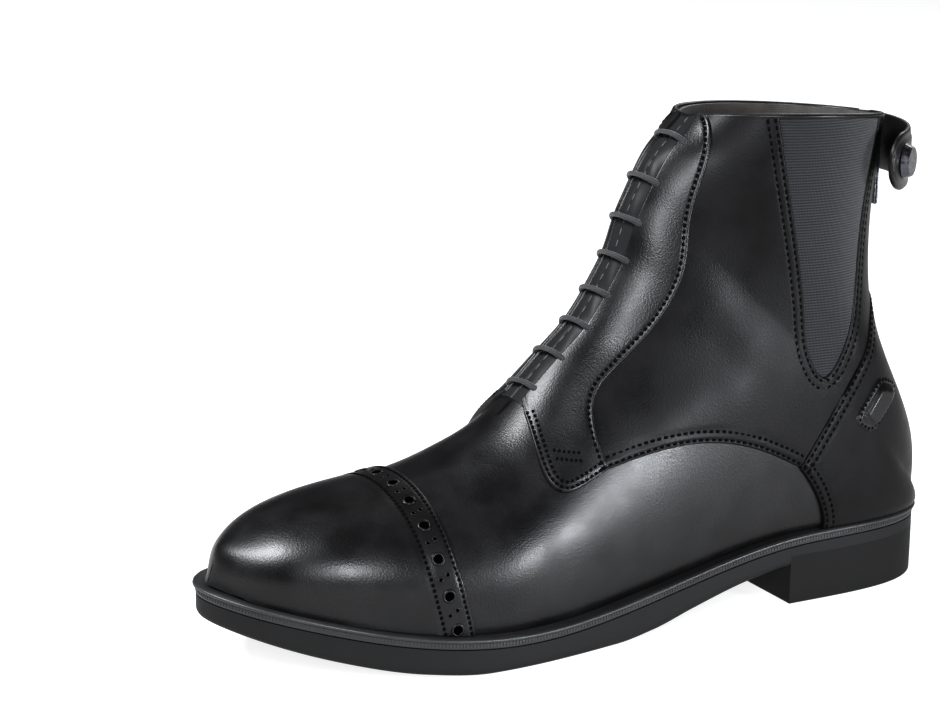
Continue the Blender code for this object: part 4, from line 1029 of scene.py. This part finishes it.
def patch(left, right, upper, lower, step):
    """(s, q) grid between four edges, with a step in length: left and right run down, upper and lower from left
    to right. A coarse grid is unfolded, read at crowded rows and columns, and its rims moved on to the edges."""
    edges = (left, right, upper, lower)
    height = run_of(skin(*left.T))[-1]
    width = max(run_of(skin(*upper.T))[-1], run_of(skin(*lower.T))[-1])
    rows, columns = (int(np.clip(size / (3.5 * MM), 8, 44)) for size in (height, width))
    v, u = np.linspace(0, 1, rows), np.linspace(0, 1, columns)
    even = [even_places(edge, places) for edge, places in zip(edges, (v, v, u, u))]
    coarse = unfolded(blended_edges(*even, v, u) * SKIN_SCALE) / SKIN_SCALE
    down, across = crowded(height, step), crowded(width, step)
    i = np.minimum((down * (rows - 1)).astype(int), rows - 2)
    j = np.minimum((across * (columns - 1)).astype(int), columns - 2)
    fv, fu = (down * (rows - 1) - i)[:, None, None], (across * (columns - 1) - j)[None, :, None]
    near = coarse[i][:, j] * (1 - fu) + coarse[i][:, j + 1] * fu
    far = coarse[i + 1][:, j] * (1 - fu) + coarse[i + 1][:, j + 1] * fu
    out = near * (1 - fv) + far * fv
    true = [even_places(edge, places) for edge, places in zip(edges, (down, down, across, across))]
    left_off, right_off = true[0] - out[:, 0], true[1] - out[:, -1]
    upper_off, lower_off = true[2] - out[0], true[3] - out[-1]
    return out + blended_edges(left_off, right_off, upper_off, lower_off, down, across)


def rolled(distance, radius):
    """Rise of a folded edge: a quarter round, 0 at the edge and 1 from radius on."""
    t = np.clip(distance / radius, 0, 1)
    return np.sqrt(1 - (1 - t) ** 2)


def sunk(distance, row, width, depth):
    """A groove at a distance from an edge, where a row of stitches draws the leather down."""
    return -depth * np.exp(-(((distance - row) / width) ** 2))


def grooves(line, rows, width=0.4 * MM, depth=0.22 * MM):
    """Seams of lifted_patch at each of the rows, distances from a line."""
    return [(line, row, width, depth) for row in rows]


def collar_line(start, end, count=40):
    """The collar from one q to another."""
    return np.stack([np.ones(count), np.linspace(start, end, count)], 1)


def lifted_patch(grid, base, rise, edges, seams=(), radius=0.9 * MM, dip=0.4 * MM):
    """Outer and inner points of a panel on a (s, q) grid: base plus rise, rolled down at the given edge lines
    and drawn down along seams, each a line with a distance from it, a width and a depth."""
    s, q = grid[..., 0], grid[..., 1]
    flat = skin(s, q, base)
    away = np.min([gap_to_line(flat, skin(*line.T, base)) for line in edges], axis=0)
    lift = base - dip + (rise + dip) * rolled(away, radius)
    for line, row, width, depth in seams:
        lift = lift + sunk(gap_to_line(flat, skin(*line.T, base)), row, width, depth)
    return skin(s, q, lift), skin(s, q, np.minimum(base - dip, lift - 0.2 * MM))


STITCH_ROWS = []
LINES = {}
gusset_run = run_of(np.array(GUSSET) * (SOLE_LENGTH, SHAFT_HEIGHT))
whole_gusset = natural_spline(gusset_run, np.array(GUSSET), np.linspace(0, gusset_run[-1], 121))
lowest = whole_gusset[:, 1].argmin()
for side in (1, -1):
    LINES[side] = {
        "facing": smooth_line(FACING_EDGE, side),
        "tab": smooth_line(TAB_EDGE, side),
        "quarter": smooth_line(QUARTER_EDGE, side),
        "counter": smooth_line(COUNTER_EDGE, side),
        "front": smooth_line(COUNTER_FRONT, side),
        "gusset front": smooth_line(whole_gusset[: lowest + 1], side, 1),
        "gusset rear": smooth_line(whole_gusset[: lowest - 1 : -1], side, 1),
    }


def add_row(line, inward, lift, pitch=2.3 * MM, start=0.0, end=1.0):
    """Notes a row of stitches: a line moved sideways by inward, at a lift, between shares of its length."""
    STITCH_ROWS.append((beside(even_places(line, np.linspace(start, end, 90)), inward), lift, pitch))


def joined(*lines):
    """Lines one after the other as one."""
    return np.vstack([lines[0]] + [line[1:] for line in lines[1:]])


def straight(a, b, count=20):
    """A straight line in (s, q)."""
    return np.linspace(a, b, count)


# Toe cap
# The toe cap is one piece over the vamp's front, with a band along its rear edge between two rows of stitches
# and large punched holes with pairs of small ones between them.
TOE_CAP_EDGE = [(0.748, 0.60), (0.743, 0.33), (0.739, 0.22), (0.721, 0.09), (0.712, -0.10)]
CAP_ROWS = (1.7 * MM, 10.6 * MM)
CAP_LENGTH = 82 * MM
cap_outer, cap_inner = smooth_line(TOE_CAP_EDGE, 1), smooth_line(TOE_CAP_EDGE, -1)
cap_edge = np.vstack([cap_inner[::-1], cap_outer[1:]])
cap_edge = cap_edge[np.argsort(cap_edge[:, 1])]
cap_edge = even_places(cap_edge, np.linspace(0, 1, 260))
q = np.linspace(-1, 1, 181)
edge_s = natural_spline(cap_edge[::5, 1], cap_edge[::5, 0], q)
near_edge = 1 - EDGE_ROWS / CAP_LENGTH
rows = np.unique(np.r_[np.linspace(0, near_edge[-1], 84), near_edge])
grid = np.stack([rows[:, None] * edge_s[None], np.broadcast_to(q, (len(rows), len(q)))], -1)
cap_seams = grooves(cap_edge, CAP_ROWS[:1], 0.45 * MM, 0.28 * MM)
cap_seams += grooves(cap_edge, CAP_ROWS[1:], 0.6 * MM, 0.30 * MM)
points, faces = sheet_mesh([lifted_patch(grid, 0.1 * MM, TOE_CAP, [cap_edge], cap_seams)])
piece("toe_cap_leather", points, faces, CAP_LEATHER, ("toe_cap",), weld=0.02 * MM, sharp=60)
for row in CAP_ROWS:
    add_row(cap_edge[::-1], row, TOE_CAP - 0.02 * MM, 2.0 * MM)

HOLE_PITCH = 12.6 * MM
BIG_HOLE, SMALL_HOLE = 1.9 * MM, 0.72 * MM
HOLE_LIFT = TOE_CAP + 0.1 * MM
# The floor of each hole is a near-black disc without shine: painted shade standing for the depth of the hole.
HOLE_PAINTED_SHADE, _, _, hole_shader = surface("hole painted shade", (0.0008, 0.0008, 0.0008), 0.9)
hole_shader.inputs["Specular IOR Level"].default_value = 0.0
# reach and rise of the rings of a hole, as shares of its radius: lip, rim and floor
HOLE_RINGS = np.array([(1.34, -0.03), (1.20, 0.12), (1.03, 0.17), (0.88, 0.12), (0.76, 0.02), (0.0, 0.015)])


def punched(line, radius, name):
    """Punched holes at (s, q) places, as rings of 16 points: a raised lip of leather and a dark floor of painted
    shade that stands for the hole's depth.
    """
    centre = skin(*line.T, HOLE_LIFT)
    over = skin_normal(*line.T)
    one = np.cross(over, (0, 0, 1.0))
    one /= np.linalg.norm(one, axis=1, keepdims=True)
    two = np.cross(over, one)
    a = np.linspace(0, 2 * np.pi, 17)[:-1]
    circle = np.cos(a)[None, :, None] * one[:, None] + np.sin(a)[None, :, None] * two[:, None]
    cells = (centre[:, None, None] + HOLE_RINGS[None, :, :1, None] * radius * circle[:, None]
             + HOLE_RINGS[None, :, 1:, None] * radius * over[:, None, None])
    first = len(HOLE_RINGS) * 16 * np.arange(len(line))
    quads, base = ring_faces(len(HOLE_RINGS), 16), np.arange(16)[::-1]
    faces = [face for start in first for face in (*(quads + start).tolist(), (base + start).tolist())]
    made = piece(name, cells.reshape(-1, 3), faces, CAP_LEATHER, weld=0.001 * MM)
    made.data.materials.append(HOLE_PAINTED_SHADE)
    spots = np.array([p.center[:] for p in made.data.polygons])
    near = np.linalg.norm(spots[:, None] - centre[None], axis=2).min(1)
    # the middle of each hole takes the painted shade
    made.data.polygons.foreach_set("material_index", np.where(near < radius * 0.86, 1, 0))


middle = beside(cap_edge[::-1], 6.2 * MM)
run = run_of(skin(*middle.T))
count = int(run[-1] / HOLE_PITCH)
places = (np.arange(count) + 0.5) / count
punched(even_places(middle, places), BIG_HOLE, "cap_holes_large")
between = places[:-1] + 0.5 / count
pairs = [even_places(beside(cap_edge[::-1], d * MM), between) for d in (4.8, 7.6)]
punched(np.vstack(pairs), SMALL_HOLE, "cap_holes_small")

# Quarters
# The side panels of the leg, one on each side, sewn to the vamp below with two rows and cut out in a long U
# for the elastic. Behind the U a strip goes on to the zip.
ZIP_HALF = 4.2 * MM
ZIP_FOOT = 120 * MM
GUSSET_ROWS = (1.6 * MM, 4.3 * MM)
QUARTER_ROWS = (1.4 * MM, 4.4 * MM)
ZIP_ROW = 1.8 * MM
QUARTER_THREAD = PANEL - 0.06 * MM
for side in (1, -1):
    lines = LINES[side]
    label = "outer" if side > 0 else "inner"
    junction = lines["quarter"][-1]
    tip = (lines["gusset front"][-1] + lines["gusset rear"][-1]) / 2
    lines["gusset front"][-1] = lines["gusset rear"][-1] = tip
    lines["counter"][0] = lines["front"][0] = junction
    k = np.abs(skin(*lines["counter"].T) - skin(*tip)).sum(1).argmin()
    spine = straight(tip, lines["counter"][k], 8)
    under_facing = beside(lines["facing"], -side * 3 * MM)
    under_facing[0, 0] = 1
    foot = straight(under_facing[-1], lines["quarter"][0], 4)
    grid = patch(
        under_facing, joined(lines["gusset front"], spine),
        collar_line(under_facing[0, 1], lines["gusset front"][0, 1]),
        joined(foot, lines["quarter"], lines["counter"][: k + 1]), 2.0 * MM,
    )
    seams = grooves(lines["gusset front"], GUSSET_ROWS)
    seams += grooves(lines["quarter"], QUARTER_ROWS, 0.5 * MM, 0.30 * MM)
    fore = lifted_patch(grid, 0.1 * MM, PANEL, [lines["gusset front"], lines["quarter"]], seams)
    back_s = np.linspace(1, lines["counter"][-1, 0], 160)
    back = np.stack([back_s, np.full(160, float(side))], 1)
    high = skin(*back.T)[:, 2]
    width = ZIP_HALF * np.clip((high - ZIP_FOOT + 2 * MM) / (4 * MM), 0, 1)
    reach = np.linalg.norm(skin(back_s, side * 0.96) - skin(back_s, side * 1.0), axis=1)
    back[:, 1] = side * (1 - 0.04 * width / reach)
    grid = patch(
        joined(lines["gusset rear"], spine), back, collar_line(lines["gusset rear"][0, 1], back[0, 1]),
        lines["counter"][k:], 1.8 * MM,
    )
    seams = grooves(lines["gusset rear"], GUSSET_ROWS) + grooves(back[:100], (ZIP_ROW,))
    zip_edge = back[high > ZIP_FOOT - 2 * MM]
    aft = lifted_patch(grid, 0.1 * MM, PANEL, [lines["gusset rear"], zip_edge], seams)
    points, faces = sheet_mesh([fore, aft])
    piece("quarter_leather_" + label, points, faces, SIDE_LEATHER_IN_PAINTED_SHADE, ("quarter_" + label,), sharp=60)
    for row in GUSSET_ROWS:
        add_row(lines["gusset front"], -side * row, QUARTER_THREAD, 2.5 * MM)
        add_row(lines["gusset rear"], side * row, QUARTER_THREAD, 2.5 * MM)
    for row in QUARTER_ROWS:
        add_row(lines["quarter"], side * row, QUARTER_THREAD, 2.6 * MM)
    add_row(zip_edge, -side * ZIP_ROW, QUARTER_THREAD, 2.6 * MM)

# Elastic gussets
# Woven elastic, charcoal with a touch of blue, let in under the U of each quarter.
# Rubber threads make fine level ribs.
ELASTIC, nodes, links, shader = surface("ribbed elastic", (0.016, 0.017, 0.020), 0.9)
ribs = pattern(nodes, links, "Wave", 314, Distortion=0.4)
ribs.bands_direction = "Z"
threads = pattern(nodes, links, "Wave", 520, Distortion=0.8)
threads.bands_direction = "Y"
weave = nodes.new("ShaderNodeMath")
weave.operation = "MULTIPLY_ADD"
weave.inputs[1].default_value = 0.35
links.new(threads.outputs["Fac"], weave.inputs[0])
links.new(ribs.outputs["Fac"], weave.inputs[2])
tone = blended(nodes, links, ribs.outputs["Fac"], (0.010, 0.0105, 0.012), (0.028, 0.029, 0.032))
links.new(tone, shader.inputs["Base Color"])
shader.inputs["Sheen Weight"].default_value = 0.25
shader.inputs["Specular IOR Level"].default_value = 0.2
add_bump(nodes, links, shader, weave.outputs[0], 0.8, 0.00025)
for side in (1, -1):
    lines = LINES[side]
    label = "outer" if side > 0 else "inner"
    front = beside(lines["gusset front"], side * -1.5 * MM)
    rear = beside(lines["gusset rear"], side * 1.5 * MM)
    front[0, 0] = rear[0, 0] = 1
    grid = patch(front, rear, collar_line(front[0, 1], rear[0, 1]), straight(front[-1], rear[-1]), 2.5 * MM)
    s, q = grid[..., 0], grid[..., 1]
    points, faces = sheet_mesh([(skin(s, q, 0.45 * MM), skin(s, q, -0.1 * MM))])
    piece("gusset_elastic_" + label, points, faces, ELASTIC, ("gusset_" + label,), sharp=60)

# Heel counter
# The counter wraps the heel below the quarters and stiffens it; its front edge runs down to the welt.
COUNTER_ROWS = (1.4 * MM, 4.2 * MM)
COUNTER_THREAD = COUNTER + 0.46 * MM
sheets = []
for side in (1, -1):
    lines = LINES[side]
    seam = straight((lines["counter"][-1, 0], side), (SEAT, side), 60)
    foot = straight((lines["front"][-1, 0], side), (SEAT, side), 60)
    grid = patch(lines["front"], seam, lines["counter"], foot, 1.8 * MM)
    edges = [lines["counter"], lines["front"]]
    seams = [seam for edge in edges for seam in grooves(edge, COUNTER_ROWS, 0.5 * MM, 0.3 * MM)]
    sheets.append(lifted_patch(grid, 0.25 * MM, COUNTER + 0.35 * MM, edges, seams))
    for row, start in zip(COUNTER_ROWS, (0.0, 0.04)):
        add_row(lines["counter"], -side * row, COUNTER_THREAD, 2.5 * MM)
        add_row(lines["front"], side * row, COUNTER_THREAD, 2.5 * MM, start)
points, faces = sheet_mesh(sheets)
piece("heel_counter_leather", points, faces, SIDE_LEATHER_IN_PAINTED_SHADE, ("heel_counter",), sharp=60)

# Facings and placket
# Two facings carry the lacing. Between them a strip of the placket lies bare, closed by a seam, and at the
# foot they widen into a tab with a rounded corner and a bar of close stitches.
LACE_SPAN = 12 * MM
STRIP_HALF = 5.4 * MM
FACING_ROW = 2.2 * MM
TAB_ROWS = (1.6 * MM, 3.6 * MM)
TACK_HEIGHTS = (0.372, 0.386)
FACING_THREAD = FACING + 0.68 * MM


def throat_line(side, half, start=1.0, end=THROAT, count=160):
    """The line beside the ridge at a half distance from it, from the collar down."""
    s = np.linspace(start, end, count)
    step = np.linalg.norm(skin(s, side * 0.06) - skin(s, 0.0 * s), axis=1)
    return np.stack([s, side * 0.06 * half / step], 1)


for side in (1, -1):
    lines = LINES[side]
    label = "outer" if side > 0 else "inner"
    throat = throat_line(side, STRIP_HALF, end=THROAT + 0.004)
    tab = lines["tab"][np.abs(lines["tab"][:, 1]) > 0.02]
    lower = joined(straight(throat[-1], tab[-1], 8), tab[::-1])
    lower[-1] = lines["facing"][-1]
    grid = patch(throat, lines["facing"], collar_line(throat[0, 1], lines["facing"][0, 1]), lower, 1.5 * MM)
    seams = grooves(lines["facing"], (FACING_ROW,), 0.45 * MM, 0.3 * MM) + grooves(lower, TAB_ROWS[:1])
    edges = [lines["facing"], throat, lower]
    points, faces = sheet_mesh([lifted_patch(grid, 0.3 * MM, FACING + 0.4 * MM, edges, seams)])
    piece("facing_leather_" + label, points, faces, UPPER_LEATHER, ("facing_" + label,), sharp=60)
    add_row(lines["facing"], -side * FACING_ROW, FACING_THREAD, 2.2 * MM)
    for high in TACK_HEIGHTS:
        tack = smooth_line([(0.592, high + 0.006), (0.578, high + 0.003), (0.560, high)], side)
        add_row(tack, 0.0, FACING_THREAD + 0.04 * MM, 1.6 * MM)
    for row, end, over in zip(TAB_ROWS, (1.0, 0.98), (0.0, 0.02 * MM)):
        add_row(lower, side * row, FACING_THREAD + over, 2.0 * MM, 0.1, end)

PLACKET = leather("placket leather", (0.006, 0.006, 0.0065), 0.80, 1100, 0.00014)
a, b = throat_line(-1, STRIP_HALF + 2 * MM), throat_line(1, STRIP_HALF + 2 * MM)
u = np.linspace(0, 1, 33)[None, :, None]
grid = a[:, None] * (1 - u) + b[:, None] * u
s, q = grid[..., 0], grid[..., 1]
ridge = skin(s[:, 16], 0.0)
off = np.linalg.norm(skin(s, q) - ridge[:, None], axis=2)
# wrinkles lie across the strip, uneven in spacing and slanting away from the middle seam, which is drawn down
level = ridge[:, None, 2]
wrinkle = np.sin(level / (2.3 * MM) + 1.5 * np.sin(level / (9 * MM)) + off / (2.0 * MM))
lift = 0.80 * MM + 0.13 * MM * wrinkle + sunk(off, 0, 0.6 * MM, 0.35 * MM)
points, faces = sheet_mesh([(skin(s, q, lift), skin(s, q, -0.1 * MM))])
piece("placket_strip", points, faces, PLACKET, ("tongue",), sharp=60)

# A row of light dashes down the middle: the seam that closes the placket.
DASH_THREAD = cloth("placket thread", (0.050, 0.050, 0.052), 900, 0.00005, 0.6)
STITCH = np.array([(-0.62, 0.35), (-0.5, 0.85), (0.0, 1.0), (0.5, 0.85), (0.62, 0.35)])
SIX = np.linspace(0, 2 * np.pi, 7)[:-1]


def stitches(line, lift, pitch, wide, high, share):
    """Cells of a row of stitches along a (s, q) line: flattened beads, each a share of the pitch long."""
    path = skin(*line.T, lift)
    run = run_of(path)
    count = max(2, int(run[-1] / pitch))
    at = (np.arange(count) + 0.5) / count * run[-1]
    middle = np.stack([np.interp(at, run, path[:, k]) for k in range(3)], 1)
    ahead = np.stack([np.interp(at, run, np.gradient(path[:, k], run)) for k in range(3)], 1)
    ahead /= np.linalg.norm(ahead, axis=1, keepdims=True)
    over = skin_normal(np.interp(at, run, line[:, 0]), np.interp(at, run, line[:, 1]))
    across = np.cross(over, ahead)
    around = (wide * np.cos(SIX)[None, None, :, None] * across[:, None, None]
              + high * np.sin(SIX)[None, None, :, None] * over[:, None, None])
    cells = (middle[:, None, None] + STITCH[None, :, :1, None] * pitch * share * ahead[:, None, None]
             + STITCH[None, :, 1:, None] * around)
    return cells.reshape(-1, 3)


def stitch_faces(points):
    """Faces of all the stitches in a cloud of points, thirty points a stitch."""
    first = 30 * np.arange(len(points) // 30)[:, None, None]
    ends = np.array([[0, 5, 4, 3, 2, 1], [24, 25, 26, 27, 28, 29]])
    sides = (ring_faces(5, 6)[None] + first).reshape(-1, 4)
    return sides.tolist() + (ends[None] + first).reshape(-1, 6).tolist()


middle_line = np.stack([np.linspace(1, THROAT + 0.01, 120), np.full(120, 0.004)], 1)
points = stitches(middle_line, 0.72 * MM, 4.2 * MM, 0.34 * MM, 0.25 * MM, 0.5)
piece("placket_seam", points, stitch_faces(points), DASH_THREAD)

# Lace bars
# Eight bars of covered elastic cord cross the placket; their ends are tucked under the facings.
CORD = cloth("covered cord", (0.016, 0.016, 0.018), 600, 0.00012, 0.7)
LACE_RADIUS = 1.35 * MM
ridge_s = np.linspace(THROAT, 1, 400)
ridge_z = skin(ridge_s, 0 * ridge_s)[:, 2]
ARC = np.linspace(-1, 1, 25)
ROUND = np.linspace(0, 2 * np.pi, 13)[:-1]


def tube(path, up, radius, flat=1.0):
    """A closed tube along a path: circles of the radius, flattened towards up, with small end rings."""
    ahead = np.gradient(path, axis=0)
    ahead /= np.linalg.norm(ahead, axis=1, keepdims=True)
    across = np.cross(ahead, up)
    across /= np.linalg.norm(across, axis=1, keepdims=True)
    over = np.cross(across, ahead)
    radius = np.broadcast_to(radius, len(path)).astype(float)
    wide, high = np.cos(ROUND)[None, :, None], flat * np.sin(ROUND)[None, :, None]
    ring = wide * across[:, None] + high * over[:, None]
    rings = path[:, None] + ring * radius[:, None, None]
    faces = ring_faces(len(path), len(ROUND)).tolist()
    count = len(ROUND)
    faces.append(list(range(count))[::-1])
    faces.append(list(range((len(path) - 1) * count, len(path) * count)))
    return rings.reshape(-1, 3), faces


LACE_BARS = 8
for number in range(1, LACE_BARS + 1):
    name = "lace_bar_%d" % number
    low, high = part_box(name)
    s0 = np.interp((low.z + high.z) / 2 - 1 * MM, ridge_z, ridge_s)
    s = np.full(len(ARC), s0) + 0.004 * ARC
    step = np.linalg.norm(skin(s0, 0.06) - skin(s0, 0.0))
    q = ARC * 0.06 * (LACE_SPAN / 2 + 1.6 * MM) / step
    lift = 1.4 * MM + 2.1 * MM * (1 - ARC**4)
    path = skin(s, q, lift)
    points, faces = tube(path, skin_normal(s, q), LACE_RADIUS * (0.66 + 0.24 * ARC**2), 0.85)
    piece(name + "_cord", points, faces, CORD, (name,), sharp=70)

# Collar
# The top edge is bound with a narrow strip of thin leather, turned over and stitched down.
BINDING = 0.95 * MM
q = np.linspace(-0.965, 0.965, 360)
s = np.ones(len(q))
points, faces = tube(skin(s, q, 0.1 * MM), skin_normal(s, q), BINDING, 1.15)
piece("collar_roll", points, faces, UPPER_LEATHER, ("collar_binding",), sharp=70)

# Zip
# A coil zip up the back seam, on a woven tape, with a dark metal slider and pull at its top.
ZIP_TAPE_HALF = 9 * MM
TAPE = cloth("zip tape", (0.014, 0.014, 0.016), 500, 0.0001)
METAL, nodes, links, shader = surface("dark metal", (0.10, 0.10, 0.11), 0.32, 1.0)
wear = pattern(nodes, links, "Noise", 900).outputs["Fac"]
links.new(ranged(nodes, links, wear, 0.24, 0.42), shader.inputs["Roughness"])
add_bump(nodes, links, shader, wear, 0.3, 0.00003)
sheets = []
seam_s = np.linspace(SEAT, 1, 200)
zip_s = np.linspace(np.interp(ZIP_FOOT, skin(seam_s, 1.0)[:, 2], seam_s), 1, 60)
for side in (1, -1):
    reach = np.linalg.norm(skin(zip_s, side * 0.96) - skin(zip_s, side * 1.0), axis=1)
    wide = 0.04 * ZIP_TAPE_HALF / reach
    q = side * (1 - wide[:, None] * np.linspace(0, 1, 8)[None])
    s = np.broadcast_to(zip_s[:, None], q.shape)
    sheets.append((skin(s, q, 0.5 * MM), skin(s, q, 0.05 * MM)))
points, faces = sheet_mesh(sheets)
piece("zip_tape_cloth", points, faces, TAPE, ("zip_tape",), sharp=60)
low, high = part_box("zip_chain")
TURN_PITCH = 0.75 * MM
count = 2 * int((high.z - low.z) / (2 * TURN_PITCH))
z = low.z + (np.arange(count) + 0.5) / count * (high.z - low.z)
s = np.interp(z, skin(zip_s, 1.0)[:, 2], zip_s)
base = skin(s, 1.0, 1.3 * MM)
out = skin_normal(s, np.ones(count))
hand = np.where(np.arange(count) % 2 == 0, 1.0, -1.0)
u = np.linspace(-0.5, 2.7, 9) * MM
bend = 0.75 * MM * np.cos((u - u.mean()) / (u[-1] - u[0]) * np.pi)
ring = np.stack([np.cos(ROUND[::2]), np.sin(ROUND[::2])], 1) * 0.5 * MM
cells = (base[:, None, None] + (hand[:, None] * u[None])[:, :, None, None] * np.array([1.0, 0, 0])
         + (bend[None, :, None, None] - 0.4 * MM + ring[None, None, :, :1]) * out[:, None, None]
         + ring[None, None, :, 1:] * np.array([0, 0, 1.0]))
first = 54 * np.arange(count)[:, None, None]
ends = np.array([range(6)[::-1], range(48, 54)])
faces = (ring_faces(9, 6)[None] + first).reshape(-1, 4).tolist() + (ends[None] + first).reshape(-1, 6).tolist()
COIL, *_ = surface("nylon coil", (0.016, 0.016, 0.018), 0.35)
piece("zip_coil", cells.reshape(-1, 3), faces, COIL, ("zip_chain",), sharp=60)
for name in ("zip_slider", "zip_pull", "snap_stud"):
    finish_solid(name, METAL)

# Snap strap
# A two-layer leather strap stands off the back of the collar, snapped down over the zip with a domed stud.
STRAP_LEVEL = 163.5 * MM
STRAP_HALF = 10.5 * MM
STRAP_THICK = 2.4 * MM
STRAP_NEAR, STRAP_AWAY = 1.7 * MM, 7.5 * MM
# the path runs level from the inner side round the back to the outer side, and lifts off after its first tenth
q = np.r_[np.linspace(-0.74, -1.0, 60), np.linspace(1.0, 0.66, 80)]
column = np.array([np.interp(STRAP_LEVEL + STRAP_HALF, skin(zip_s, value)[:, 2], zip_s) for value in q])
path = skin(column, q, 0.0)
normal = skin_normal(column, q) * (1, 1, 0)
normal /= np.linalg.norm(normal, axis=1, keepdims=True)
run = run_of(path)
stand = STRAP_NEAR + STRAP_AWAY * np.clip((run / run[-1] - 0.10) / 0.25, 0, 1) ** 1.5 + STRAP_THICK / 2
path = path + normal * stand[:, None]
path[:, 2] = STRAP_LEVEL
even = np.linspace(0, 1, 121)
run = run_of(path) / run_of(path)[-1]
path = np.stack([np.interp(even, run, path[:, k]) for k in range(3)], 1)
normal = np.stack([np.interp(even, run, normal[:, k]) for k in range(3)], 1)
normal /= np.linalg.norm(normal, axis=1, keepdims=True)
length = run_of(path)
from_end = np.minimum(length, length[-1] - length)
half = STRAP_HALF * np.sqrt(np.clip(1 - np.clip(1 - from_end / STRAP_HALF, 0, 1) ** 2, 0.0004, 1))
# its section is a flat rounded bar, padded on the outer face, and its ends are half rounds
a = np.linspace(0, 2 * np.pi, 49)[:-1]
flat_x = np.sign(np.cos(a)) * np.abs(np.cos(a)) ** 0.9
flat_y = np.sign(np.sin(a)) * np.abs(np.sin(a)) ** 0.35
pad = 0.35 * MM * np.clip((0.72 - np.abs(flat_x)) / 0.08, 0, 1) * (np.sin(a) > 0)
thick = STRAP_THICK / 2 * np.clip(from_end / (1.2 * MM), 0.25, 1) ** 0.5
rings = (path[:, None] + flat_x[None, :, None] * half[:, None, None] * np.array([0, 0, 1.0])
         + (flat_y[None] * thick[:, None] + pad[None])[..., None] * normal[:, None])
faces = ring_faces(len(path), len(a)).tolist() + [list(range(48))[::-1], list(range(120 * 48, 121 * 48))]
piece("strap_leather", rings.reshape(-1, 3), faces, UPPER_LEATHER, ("snap_strap",), weld=0.02 * MM,
      sharp=70)

# Spur rests
# A padded lug on each side of the counter and a ledge at the back keep a spur from slipping: leather over a
# core, sewn down round its flange.
SPUR_REST = [(0.161, 0.386), (0.129, 0.452), (0.099, 0.427), (0.136, 0.361)]
LUG_REACH = 1.34
LUG_THREAD = 1.20
FEW = 13
reach = LUG_REACH * np.linspace(-1, 1, 49)
x, y = reach[:, None], reach[None, :]
a = np.linspace(0, 2 * np.pi, 61)
ring = [np.sign(f(a)) * np.abs(f(a)) ** 0.5 * LUG_THREAD for f in (np.cos, np.sin)]


def on_lug(x, y, side):
    """(s, q) at x and y across the lug, each -1 to 1 between its corners in the side view."""
    a, b, c, d = np.array(SPUR_REST)
    x, y = (x[:, None] + 1) / 2, (y[:, None] + 1) / 2
    return on_last((1 - x) * ((1 - y) * a + y * d) + x * ((1 - y) * b + y * c), side)


# places are found on FEW by FEW points and spread evenly between them, by a hat round each point
few = LUG_REACH * np.linspace(-1, 1, FEW)
hats = np.maximum(0, 1 - np.abs(reach[:, None] - few[None]) / (few[1] - few[0]))
# a rounded square: the padded core rises inside it, and the thin flange is sewn down round it
far = (np.abs(x) ** 5 + np.abs(y) ** 5) ** 0.2
mound = np.clip((1.05 - far) / 0.42, 0, 1)
flange = np.clip((LUG_REACH - far) / 0.10, 0, 1) ** 0.5
lift = (1.7 + 1.1 * flange + 1.9 * mound * (2 - mound)) * MM
for side in (1, -1):
    label = "outer" if side > 0 else "inner"
    spots = on_lug(np.repeat(few, FEW), np.tile(few, FEW), side).reshape(FEW, FEW, 2)
    s, q = np.einsum("ia,jb,abk->kij", hats, hats, spots)
    STITCH_ROWS.append((on_lug(*ring, side), 2.72 * MM, 2.0 * MM))
    points, faces = sheet_mesh([(skin(s, q, lift), skin(s, q, 0.6 * MM))])
    piece("spur_lug_" + label, points, faces, UPPER_LEATHER, ("spur_rest_" + label,), sharp=70)
finish_solid("spur_rest_rear", UPPER_LEATHER)

# Stitches
# Waxed black thread in lock stitch, about two millimetres a stitch, each drawn down into the leather.
# All the rows noted above are one piece.
# The thread is darker than the leather and almost without shine: partly its own black, partly painted shade
# standing for the dark stitch holes.
THREAD = cloth("waxed thread with painted hole shade", (0.0016, 0.0016, 0.002), 900, 0.00005, 0.8, sheen=0.0, shine=0.06)
points = np.concatenate([stitches(*row, 0.60 * MM, 0.25 * MM, 0.5) for row in STITCH_ROWS])
piece("seam_stitches", points, stitch_faces(points), THREAD)
